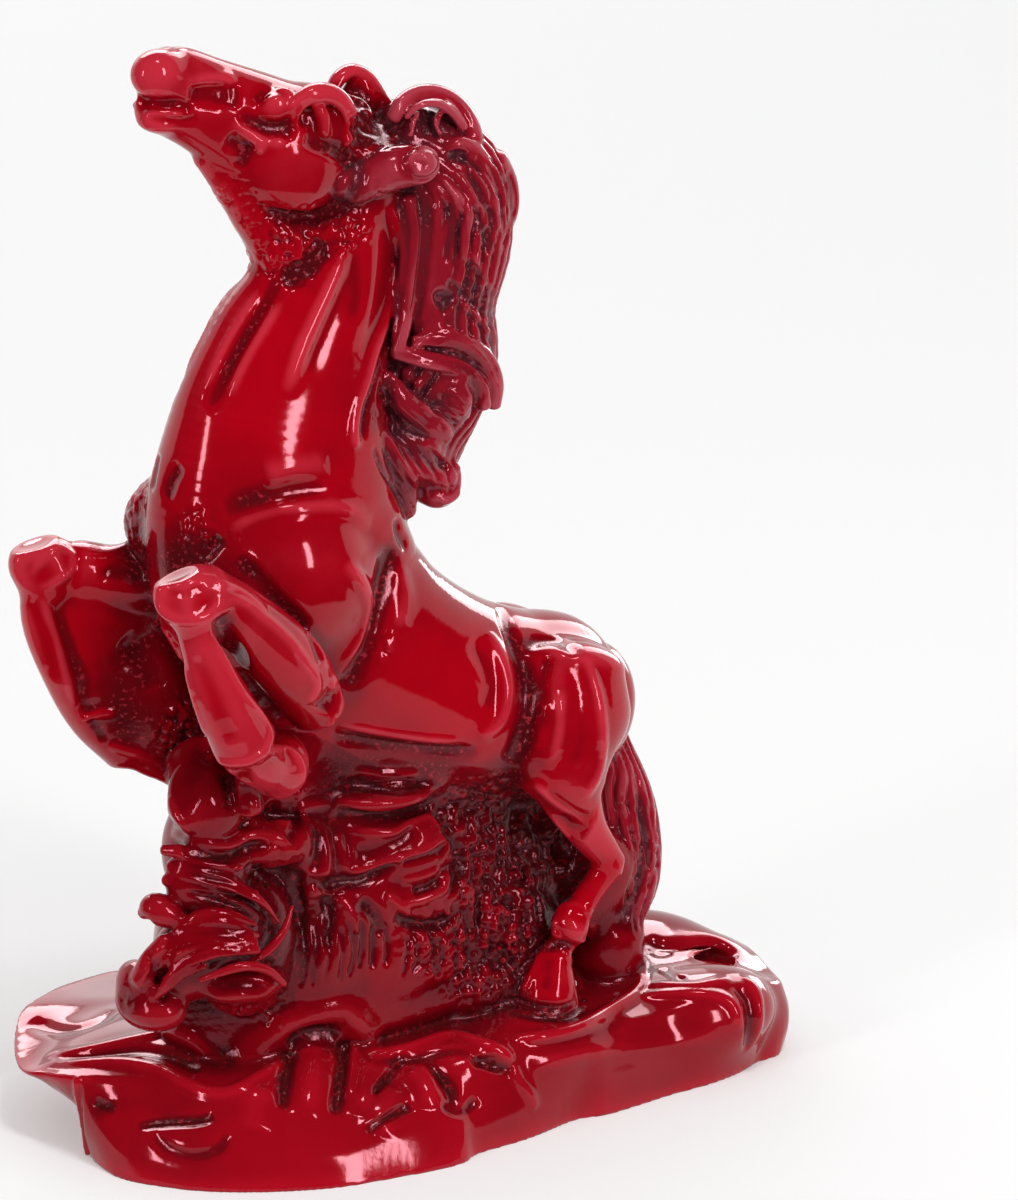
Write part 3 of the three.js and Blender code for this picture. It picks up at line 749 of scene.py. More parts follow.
def swell(field_: Field, height: float, length: float, waves: int = 5) -> None:
    """Give the whole surface the slight unevenness of a casting finished by hand.

    Args:
        field_: The field to change.
        height: Greatest change, in millimetres.
        length: Usual length of a wave.
        waves: How many are laid over each other.
    """
    draw = np.random.default_rng(SEED)
    x, y, z = (axis.astype(np.float32) for axis in field_.axes)
    for _ in range(waves):
        way = unit(draw.normal(size=3)) * 2 * math.pi / (length * draw.uniform(0.7, 1.5))
        shift = draw.uniform(0, 2 * math.pi)
        turn = x[:, None, None] * way[0] + y[None, :, None] * way[1] + z[None, None, :] * way[2] + shift
        field_.value += (height / waves) * np.sin(turn).astype(np.float32)


class Mesher:
    """Turns the field into one closed mesh for each casting.

    Neighbouring castings share the points of their seams, and normals come from the field, so
    that no line shows where two of them meet on a smooth stretch.
    """

    fine_reach = 0.75
    broad_reach = 2.4
    scored_share = 0.6
    laps = 4
    outer_pull = 0.35
    seam_pull = 0.6
    longest_step = 0.5
    # Share of painted shade that each spot adds.
    shade_spot_share = 0.6

    def __init__(self, field_: Field) -> None:
        """Part the solid, place one point in each mixed cell and settle it on the surface.

        Args:
            field_: The carved field.
        """
        self.field = field_
        self.labels = self.part_solid()
        self.places, self.cells, self.outer = self.place_points()
        self.quads, self.sides = self.join_points()
        self.settle()
        self.normals = field_.slope(self.places, field_.step * 0.9)
        self.normals /= np.maximum(np.linalg.norm(self.normals, axis=1, keepdims=True), 1e-6)
        # The hollow masks darken hollows with painted shade in the finishes, partly standing for the dark
        # wash as well.
        scored = field_.sample(self.places, field_.scored)
        self.fine = self.hollow(self.fine_reach) + self.scored_share * scored
        self.broad = self.hollow(self.broad_reach)

    def part_solid(self) -> np.ndarray:
        """Part the solid among its pieces, and smooth the seams between them.

        Returns:
            The number of the piece at each grid point, 0 outside.
        """
        inside = self.field.value < 0
        labels = np.where(inside, self.field.owner, 0).astype(np.uint8)
        best = np.zeros(labels.shape, np.float32)
        smooth = labels.copy()
        radius = 2
        for piece in Piece:
            mine = labels == piece
            if not mine.any():
                continue
            hits = [np.nonzero(mine.any(axis=other))[0] for other in ((1, 2), (0, 2), (0, 1))]
            room = tuple(slice(max(hit.min() - radius - 1, 0), hit.max() + radius + 2) for hit in hits)
            share = box_blur(mine[room].astype(np.float32), radius)
            won = share > best[room]
            best[room] = np.where(won, share, best[room])
            smooth[room] = np.where(won, np.uint8(piece), smooth[room])
        return np.where(inside, smooth, 0).astype(np.uint8)

    def edges(self) -> Iterable[tuple[int, np.ndarray, np.ndarray]]:
        """Find the grid points whose step to the next one crosses a border.

        Yields:
            An axis, the points whose step along it does so, and the pieces before and behind each.
        """
        for axis in range(3):
            low = [slice(None)] * 3
            high = [slice(None)] * 3
            low[axis], high[axis] = slice(0, -1), slice(1, None)
            first, second = self.labels[tuple(low)], self.labels[tuple(high)]
            hits = np.stack(np.nonzero(first != second), 1)
            yield axis, hits, np.stack([first[tuple(hits.T)], second[tuple(hits.T)]], 1)

    def place_points(self) -> tuple[np.ndarray, np.ndarray, np.ndarray]:
        """Place one point in each cell that a border crosses.

        Returns:
            The points, the number of the point in each cell (-1 where it has none), and which
            points lie on the outer surface.
        """
        labels = self.labels
        low = labels[:-1, :-1, :-1]
        mixed = np.zeros(low.shape, bool)
        open_ = low == 0
        for shift in np.ndindex(2, 2, 2):
            corner = labels[tuple(slice(s, s - 1 if s == 0 else None) for s in shift)]
            mixed |= corner != low
            open_ |= corner == 0
        cells = np.full(low.shape, -1, np.int32)
        cells[mixed] = np.arange(mixed.sum())
        total = np.zeros((mixed.sum(), 3))
        count = np.zeros(mixed.sum())
        touches = open_[mixed]
        for axis, hits, names in self.edges():
            after = hits.copy()
            after[:, axis] += 1
            start = self.field.value[tuple(hits.T)]
            stop = self.field.value[tuple(after.T)]
            border = (names == 0).any(1)
            share = np.where(border, start / np.where(border, start - stop, 1), 0.5)
            place = hits.astype(float)
            place[:, axis] += share
            for a in (0, 1):
                for b in (0, 1):
                    cell = hits.copy()
                    cell[:, (axis + 1) % 3] -= a
                    cell[:, (axis + 2) % 3] -= b
                    number = cells[tuple(cell.T)]
                    use = (number >= 0) & (border | ~touches[number])
                    np.add.at(total, number[use], place[use])
                    np.add.at(count, number[use], 1)
        origin = np.array([axis[0] for axis in self.field.axes])
        return origin + total / np.maximum(count, 1)[:, None] * self.field.step, cells, touches

    def join_points(self) -> Pair:
        """Join the points into quads, wound along their axis.

        Returns:
            The numbers of each quad's points, and the pieces before and behind it.
        """
        quads, sides = [], []
        for axis, hits, names in self.edges():
            second, third = (axis + 1) % 3, (axis + 2) % 3
            corners = []
            for a, b in ((1, 1), (0, 1), (0, 0), (1, 0)):
                cell = hits.copy()
                cell[:, second] -= a
                cell[:, third] -= b
                corners.append(self.cells[tuple(cell.T)])
            quads.append(np.stack(corners, 1))
            sides.append(names)
        return np.concatenate(quads), np.concatenate(sides)

    def settle(self) -> None:
        """Even out the points, then move the outer ones onto the surface."""
        pairs = np.concatenate([self.quads[:, [k, (k + 1) % 4]] for k in range(4)])
        share_outer = (self.sides == 0).any(1)
        outer_pairs = np.concatenate([self.quads[share_outer][:, [k, (k + 1) % 4]] for k in range(4)])
        passes = ((outer_pairs, self.outer, self.outer_pull), (pairs, ~self.outer, self.seam_pull))
        limit = self.field.step * self.longest_step
        for _ in range(self.laps):
            for chosen, mask, pull in passes:
                count = np.bincount(chosen[:, 0], minlength=len(self.places)) + np.bincount(
                    chosen[:, 1], minlength=len(self.places))
                mean = np.stack([
                    np.bincount(chosen[:, 0], self.places[chosen[:, 1], n], len(self.places))
                    + np.bincount(chosen[:, 1], self.places[chosen[:, 0], n], len(self.places))
                    for n in range(3)], 1) / np.maximum(count, 1)[:, None]
                use = mask & (count > 0)
                self.places[use] += (mean[use] - self.places[use]) * pull
            points = self.places[self.outer]
            rise = self.field.slope(points, self.field.step * 0.5)
            value = self.field.sample(points)
            step = value[:, None] * rise / np.maximum((rise ** 2).sum(1, keepdims=True), 0.2)
            length = np.maximum(np.linalg.norm(step, axis=1, keepdims=True), 1e-9)
            self.places[self.outer] = points - step * np.minimum(1, limit / length)
        self.places[:, 2] = np.maximum(self.places[:, 2], 0)

    def hollow(self, reach: float) -> np.ndarray:
        """Return how deep each point lies in its surroundings.

        Args:
            reach: Size of the surroundings, in millimetres.

        Returns:
            Values above 0 in hollows and below 0 on edges.
        """
        radius = max(1, round(reach / self.field.step))
        level = np.clip(self.field.value, -reach, reach)
        for _ in range(2):
            level = box_blur(level, radius)
        return -self.field.sample(self.places, level) / reach

    def paint_shade(self, shade_spots: Sequence[Row]) -> None:
        """Paint shade round pixels of the photograph, and at the same places of the far side; some of it also
        stands for the dark wash in creases.

        Args:
            shade_spots: Pixel x and y, radius in millimetres and strength of each.
        """
        places, met = self.field.look(np.array(shade_spots)[:, :2])
        for (_, _, radius, strength), place, hit in zip(shade_spots, places, met):
            for middle in (place, place * (1, -1, 1)) if hit else ():
                away = ((self.places - middle) ** 2).sum(1)
                # Painted shade: the spot darkens the hollow mask round it.
                self.broad += self.shade_spot_share * strength * np.exp(-away / radius ** 2)

    def casting(self, piece: Piece) -> bpy.types.Object:
        """Make the closed mesh of one piece, with its normals and its masks of hollows.

        Args:
            piece: The piece.

        Returns:
            The object, in metres.
        """
        front = self.sides[:, 0] == piece
        behind = self.sides[:, 1] == piece
        quads = np.concatenate([self.quads[front], self.quads[behind][:, ::-1]])
        seam = np.concatenate([self.sides[front, 1], self.sides[behind, 0]]) != 0
        used, corners = np.unique(quads.ravel(), return_inverse=True)
        corners = corners.ravel()
        mesh = bpy.data.meshes.new(piece.name.lower() + "_casting")
        mesh.vertices.add(len(used))
        mesh.vertices.foreach_set("co", (self.places[used] * MM).astype(np.float32).ravel())
        mesh.loops.add(len(corners))
        mesh.loops.foreach_set("vertex_index", corners.astype(np.int32))
        mesh.polygons.add(len(quads))
        mesh.polygons.foreach_set("loop_start", np.arange(0, len(corners), 4, dtype=np.int32))
        mesh.polygons.foreach_set("use_smooth", np.ones(len(quads), bool))
        mesh.update(calc_edges=True)
        for name, values in (("fine_hollow", self.fine), ("broad_hollow", self.broad)):
            mask = mesh.attributes.new(name, "FLOAT", "POINT")
            mask.data.foreach_set("value", values[used].astype(np.float32))
        normals = self.normals[used][corners]
        normals[np.repeat(seam, 4)] = 0
        mesh.normals_split_custom_set(normals.tolist())
        return add_object(mesh.name, mesh)


def box_blur(values: np.ndarray, radius: int) -> np.ndarray:
    """Return the mean round each grid point.

    Args:
        values: Grid of values.
        radius: Points that the cube reaches to each side.

    Returns:
        Grid of the same shape.
    """
    result = values.astype(np.float32)
    for axis in range(3):
        margins = [(radius + 1, radius) if n == axis else (0, 0) for n in range(3)]
        padded = np.pad(result, margins, mode="edge")
        total = np.cumsum(padded, axis=axis, dtype=np.float64)
        size = result.shape[axis]
        late = [slice(None)] * 3
        early = [slice(None)] * 3
        late[axis] = slice(2 * radius + 1, 2 * radius + 1 + size)
        early[axis] = slice(0, size)
        result = ((total[tuple(late)] - total[tuple(early)]) / (2 * radius + 1)).astype(np.float32)
    return result


def new_group(name: str, outputs: Sequence[str], inputs: dict[str, float]
              ) -> tuple[bpy.types.ShaderNodeTree, bpy.types.Node, bpy.types.Node]:
    """Start a shader node group whose sockets all carry a number.

    Args:
        name: Name of the group.
        outputs: Name of each output.
        inputs: Usual value of each input, by its name.

    Returns:
        The group with its input and output nodes.
    """
    group = bpy.data.node_groups.new(name, "ShaderNodeTree")
    for label, value in inputs.items():
        socket = group.interface.new_socket(label, in_out="INPUT", socket_type="NodeSocketFloat")
        socket.default_value = value
    for label in outputs:
        group.interface.new_socket(label, in_out="OUTPUT", socket_type="NodeSocketFloat")
    return group, group.nodes.new("NodeGroupInput"), group.nodes.new("NodeGroupOutput")


class Nodes:
    """Short ways to add and join shader nodes in one tree."""

    def __init__(self, tree: bpy.types.ShaderNodeTree) -> None:
        """Keep the tree."""
        self.tree = tree

    def add(self, kind: str, **settings: object) -> bpy.types.Node:
        """Add a node.

        Args:
            kind: Type of the node.
            **settings: Properties to set on it.

        Returns:
            The node.
        """
        node = self.tree.nodes.new(kind)
        for name, value in settings.items():
            setattr(node, name, value)
        return node

    def join(self, source: object, target: object) -> None:
        """Join an output to an input, or set the input.

        Args:
            source: Output of a node, or a value.
            target: Input of a node.
        """
        if isinstance(source, bpy.types.NodeSocket):
            self.tree.links.new(source, target)
        else:
            target.default_value = source

    def math(self, operation: str, first: object, second: object = 0.0) -> bpy.types.NodeSocket:
        """Add a Math node.

        Args:
            operation: What it does.
            first: Its first value or source.
            second: Its second.

        Returns:
            Its result.
        """
        node = self.add("ShaderNodeMath", operation=operation)
        self.join(first, node.inputs[0])
        self.join(second, node.inputs[1])
        return node.outputs[0]

    def spread(self, value: object, low: float, high: float, to_low: float = 0.0, to_high: float = 1.0
               ) -> bpy.types.NodeSocket:
        """Spread a value smoothly from one range to another.

        Args:
            value: The value or its source.
            low: Start of the first range.
            high: End of it.
            to_low: Start of the second range.
            to_high: End of it.

        Returns:
            The value in the second range.
        """
        node = self.add("ShaderNodeMapRange", interpolation_type="SMOOTHSTEP")
        for slot, part in enumerate((value, low, high, to_low, to_high)):
            self.join(part, node.inputs[slot])
        return node.outputs[0]

    def blend(self, share: object, first: object, second: object) -> bpy.types.NodeSocket:
        """Mix two colours.

        Args:
            share: Share of the second.
            first: Colour or source of one.
            second: Colour or source of the other.

        Returns:
            The mixed colour.
        """
        node = self.add("ShaderNodeMix", data_type="RGBA")
        self.join(share, node.inputs["Factor"])
        for source, target in ((first, node.inputs[6]), (second, node.inputs[7])):
            self.join((*source, 1.0) if isinstance(source, tuple) else source, target)
        return node.outputs[2]

    def noise(self, place: object, scale: object, detail: float, rough: float = 0.5) -> bpy.types.NodeSocket:
        """Add noise.

        Args:
            place: Source of the place.
            scale: Fineness.
            detail: How many finer layers it has.
            rough: How strong each of them is.

        Returns:
            The noise, about 0 to 1.
        """
        node = self.add("ShaderNodeTexNoise")
        self.join(place, node.inputs["Vector"])
        self.join(scale, node.inputs["Scale"])
        node.inputs["Detail"].default_value = detail
        node.inputs["Roughness"].default_value = rough
        return node.outputs["Fac"]

    def place(self) -> bpy.types.NodeSocket:
        """Return the place on the piece, in metres."""
        return self.add("ShaderNodeTexCoord").outputs["Object"]

    def seen(self) -> bpy.types.NodeSocket:
        """Tell the rays that show something to the camera from those that light the scene.

        Returns:
            1 for the camera's own rays and for reflected and transmitted ones, 0 for others.
        """
        path = self.add("ShaderNodeLightPath")
        seen = self.math("MAXIMUM", path.outputs["Is Camera Ray"], path.outputs["Is Glossy Ray"])
        return self.math("MAXIMUM", seen, path.outputs["Is Transmission Ray"])

    def mask(self, name: str) -> bpy.types.NodeSocket:
        """Return a mask that the mesh carries."""
        return self.add("ShaderNodeAttribute", attribute_type="GEOMETRY", attribute_name=name).outputs["Fac"]


def build_hollow_and_edge_shading() -> bpy.types.ShaderNodeTree:
    """Build the group of masks for painted shade in hollows, which also stands for the dark wash there, and
    for painted highlights on edges.

    Returns:
        The node group.
    """
    group, entry, leave = new_group(
        "hollow_and_edge_shading", ("Deep", "Shade_and_wash", "Painted_highlight"), {"Reach": 1.0, "Mottle": 0.3})
    nodes = Nodes(group)
    fine, broad = nodes.mask("fine_hollow"), nodes.mask("broad_hollow")
    cloud = nodes.math("SUBTRACT", nodes.noise(nodes.place(), 150.0, 4.0, 0.6), 0.5)
    cloud = nodes.math("MULTIPLY", cloud, entry.outputs["Mottle"])
    hollows = nodes.math("ADD", nodes.math("MULTIPLY", fine, 1.1), broad)
    level = nodes.math("MULTIPLY", nodes.math("ADD", hollows, cloud), entry.outputs["Reach"])
    # First mask: painted shade in hollows and scored lines, partly the casting's dark wash.
    nodes.join(nodes.spread(level, 0.0, 0.3), leave.inputs["Deep"])
    # Second mask: the darkest painted shade, with the dark wash, in deep hollows and at the shade spots.
    nodes.join(nodes.spread(level, 0.2, 0.75), leave.inputs["Shade_and_wash"])
    # Third mask: edges and ridges get a paler colour, a painted highlight.
    nodes.join(nodes.spread(nodes.math("MULTIPLY", level, -1.0), 0.1, 0.6), leave.inputs["Painted_highlight"])
    return group


def build_cast_surface() -> bpy.types.ShaderNodeTree:
    """Build the group that gives the casting's small unevenness and the specks where glints are painted.

    Returns:
        The node group.
    """
    group, entry, leave = new_group(
        "cast_surface", ("Height", "Specks"), {"Waves": 1.0, "Grit": 0.2, "Shade_and_wash": 0.0})
    nodes = Nodes(group)
    place = nodes.place()
    waves = nodes.math("MULTIPLY", nodes.noise(place, 190.0, 2.0, 0.4), entry.outputs["Waves"])
    grain = nodes.noise(place, 2300.0, 3.0, 0.6)
    rough = nodes.math("MULTIPLY", grain, nodes.math(
        "ADD", nodes.math("MULTIPLY", entry.outputs["Shade_and_wash"], 0.8), entry.outputs["Grit"]))
    nodes.join(nodes.math("ADD", waves, nodes.math("MULTIPLY", rough, 0.35)), leave.inputs["Height"])
    # Specks that the finishes lighten as painted glints.
    nodes.join(nodes.spread(nodes.noise(place, 2100.0, 2.0, 0.5), 0.56, 0.68), leave.inputs["Specks"])
    return group


@dataclass(frozen=True)
class ResinFinish:
    """Cast resin, tinted red and polished, with painted shade in the hollows that also stands for the dark
    wash left there.
    """

    name: str
    # Colours: the resin's own red, a darker red for random mottle and painted shade, the darkest painted
    # shade with the dark wash, and a pale painted highlight.
    lit: Colour
    deep: Colour
    shade_and_wash: Colour
    painted_highlight: Colour
    reach: float = 1.0
    mottle: float = 0.3
    waves: float = 0.5
    grit: float = 0.1
    relief: float = 0.00014
    gloss: float = 0.08
    shine: float = 0.55
    glint: Colour = (1, .42, .5)
    cloud_scale: float = 60.0
    cloud_share: float = 0.55
    painted_highlight_share: float = 0.6
    glint_share: float = 0.4
    hollow_dulls: float = 0.12
    groups: dict[str, bpy.types.ShaderNodeTree] = field(default_factory=dict)

    def material(self) -> bpy.types.Material:
        """Build the material of nodes.

        Returns:
            The material.
        """
        material = bpy.data.materials.new(self.name)
        material.use_nodes = True
        nodes = Nodes(material.node_tree)
        shader = material.node_tree.nodes["Principled BSDF"]
        shading = nodes.add("ShaderNodeGroup", node_tree=self.groups["hollow_and_edge_shading"])
        shading.inputs["Reach"].default_value = self.reach
        shading.inputs["Mottle"].default_value = self.mottle
        surface = nodes.add("ShaderNodeGroup", node_tree=self.groups["cast_surface"])
        surface.inputs["Waves"].default_value = self.waves
        surface.inputs["Grit"].default_value = self.grit
        nodes.join(shading.outputs["Shade_and_wash"], surface.inputs["Shade_and_wash"])
        cloud = nodes.noise(nodes.place(), self.cloud_scale, 3.0, 0.55)
        colour = nodes.blend(nodes.spread(cloud, 0.35, 0.68, 0.0, self.cloud_share), self.lit, self.deep)
        # Painted shade in hollows, partly the casting's dark wash.
        colour = nodes.blend(shading.outputs["Deep"], colour, self.deep)
        # Darkest painted shade, with the dark wash, in deep hollows.
        colour = nodes.blend(shading.outputs["Shade_and_wash"], colour, self.shade_and_wash)
        # Painted highlight: paler pink along edges and ridges.
        painted_highlight = nodes.math("MULTIPLY", shading.outputs["Painted_highlight"], self.painted_highlight_share)
        colour = nodes.blend(painted_highlight, colour, self.painted_highlight)
        # Painted glints: pale specks in the darkest hollows.
        painted_glints = nodes.math("MULTIPLY", surface.outputs["Specks"],
                          nodes.spread(shading.outputs["Shade_and_wash"], 0.1, 0.6, 0.0, self.glint_share))
        colour = nodes.blend(painted_glints, colour, self.painted_highlight)
        nodes.join(colour, shader.inputs["Base Color"])
        roughness = nodes.spread(shading.outputs["Shade_and_wash"], 0.0, 1.0, self.gloss, self.gloss + self.hollow_dulls)
        nodes.join(roughness, shader.inputs["Roughness"])
        shader.inputs["Specular IOR Level"].default_value = self.shine
        shader.inputs["Specular Tint"].default_value = (*self.glint, 1.0)
        bump = nodes.add("ShaderNodeBump")
        bump.inputs["Distance"].default_value = self.relief
        nodes.join(surface.outputs["Height"], bump.inputs["Height"])
        nodes.join(bump.outputs["Normal"], shader.inputs["Normal"])
        return material


def both(*forms: Limb | Lump) -> list[Limb | Lump]:
    """Return each form and its mirror image."""
    return [side for form in forms for side in (form, form.mirrored())]


@dataclass(frozen=True)
class Slab:
    """Base with a wavy outline, widest at its brim, given as foot x, y and brim x, y, z rows."""

    rows: Sequence[Row]
    top: float
    centre: tuple[float, float]
    rounding: float = 0.6
    waist_height: float = 0.48
    shoulder_reach: float = 0.8
    crown_reach: float = 0.45

    def box(self) -> Pair:
        """Find the room that the slab can fill.

        Returns:
            Its lowest and its highest corner.
        """
        rows = np.array(self.rows)
        points = np.concatenate([rows[:, :2], rows[:, 2:4]])
        return np.array([*points.min(0), 0.0]), np.array([*points.max(0), self.top])

    def distance(self, axes: Axes) -> np.ndarray:
        """Return the distance at each point of a grid, close to true near the surface.

        Args:
            axes: Sorted x, y and z coordinates of the grid.

        Returns:
            Array of the grid's shape.
        """
        rows = np.array(self.rows)
        x = axes[0][:, None] - self.centre[0]
        y = axes[1][None, :] - self.centre[1]
        angle, out = np.arctan2(y, x), np.hypot(x, y)

        def around(px: np.ndarray, py: np.ndarray, values: np.ndarray) -> np.ndarray:
            """Read the values of a ring of points at each angle of the grid.

            Args:
                px: X of the points.
                py: Y of the points.
                values: The value at each.

            Returns:
                A value for each x and y of the grid.
            """
            turn = np.arctan2(py - self.centre[1], px - self.centre[0])
            order = np.argsort(turn)
            turn, values = turn[order], values[order]
            turn = np.concatenate([turn[-3:] - 2 * math.pi, turn, turn[:3] + 2 * math.pi])
            values = np.concatenate([values[-3:], values, values[:3]])
            fine = curve_through(np.stack([turn, values], 1), 8)
            return np.interp(angle, np.maximum.accumulate(fine[:, 0]), fine[:, 1])

        def radius(px: np.ndarray, py: np.ndarray) -> np.ndarray:
            """Return how far a ring of points lies from the centre."""
            return np.hypot(px - self.centre[0], py - self.centre[1])

        foot = around(rows[:, 0], rows[:, 1], radius(rows[:, 0], rows[:, 1]))
        brim = around(rows[:, 2], rows[:, 3], radius(rows[:, 2], rows[:, 3]))
        brim_z = around(rows[:, 2], rows[:, 3], rows[:, 4])
        z = axes[2][None, None, :]
        lip = np.clip((brim - foot) / 2, 0, 1)
        waist = (foot + (brim - foot) * (0.35 - 0.3 * lip)) * (1.03 - 0.03 * lip)

        def beyond(low: Pair, high: Pair) -> np.ndarray:
            """Return how far each grid point lies outside one face of the profile.

            Args:
                low: Distance from the centre and height of the face's first edge.
                high: The same of its second edge.

            Returns:
                Array of the grid's shape.
            """
            run, rise = high[0] - low[0], high[1] - low[1]
            length = np.hypot(run, rise)
            return ((out - low[0])[:, :, None] * (rise / length)[:, :, None]
                    - (z - low[1][:, :, None]) * (run / length)[:, :, None])

        middle = (waist, brim_z * self.waist_height)
        shoulder = (brim * self.shoulder_reach, brim_z * 0.3 + self.top * 0.7)
        crown = (brim * self.crown_reach, self.top + 0 * foot)
        low = beyond((foot, 0 * foot), middle)
        high = beyond(middle, (brim, brim_z))
        result = np.where((brim > waist)[:, :, None], soft_min(low, high, self.rounding * 2),
                          -soft_min(-low, -high, self.rounding * 2))
        for away in (beyond((brim, brim_z), shoulder), beyond(shoulder, crown), z - self.top):
            result = -soft_min(-result, -away, self.rounding)
        return result


@dataclass
class Part:
    """One sub-assembly: the castings that it makes, their finish, and what is cut into them.

    The slot also names the finish. Sides tells where the creases, combs and patches go.
    """

    pieces: Sequence[Piece]
    slot: str
    sides: Sides = Sides.NEAR
    creases: Sequence[Stroke] = ()
    combs: Sequence[Comb] = ()
    patches: Sequence[Row] = ()
    # Spots of painted shade, partly dark wash: pixel x and y, radius in millimetres and strength.
    shade_spots: Sequence[Row] = ()

    def shape(self, field_: Field) -> None:
        """Add the forms of the part to the field."""

    def carve(self, field_: Field) -> None:
        """Cut the part's creases, ridges, strands and pitted patches.

        Args:
            field_: The field that they are cut into.
        """
        field_.draw(self.creases, self.sides)
        for comb in self.combs:
            field_.draw(comb.strokes(), self.sides)
        field_.roughen(self.patches, self.sides)

    def cast(self, mesher: Mesher, finishes: dict[str, bpy.types.Material]) -> list[bpy.types.Object]:
        """Make the castings and dress them.

        Args:
            mesher: Source of the meshes.
            finishes: Materials by the name of their slot.

        Returns:
            The objects, riding on the figure and standing for their solids.
        """
        made = []
        for piece in self.pieces:
            obj = mesher.casting(piece)
            obj.data.materials.append(finishes[self.slot])
            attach(obj, "root")
            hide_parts(piece.name.lower())
            made.append(obj)
            LOG.info("%s: %d faces", obj.name, len(obj.data.polygons))
        return made


def seen_limb(*rows: Row) -> Limb:
    """Return a round limb along a line, from rows of pixel x, pixel y, Y of the spine and radius."""
    return Limb(tuple((*VIEW.at(*row[:3]), row[3], row[3]) for row in rows), 1.0, 1.0)


def seen_lump(x: float, y: float, side: float, radii: Point, turn: float = 0.0, flats: int = 0) -> Lump:
    """Return a lump that shows at a pixel of the photograph, centred on the plane Y = side."""
    return Lump(VIEW.at(x, y, side), radii, turn, flats)


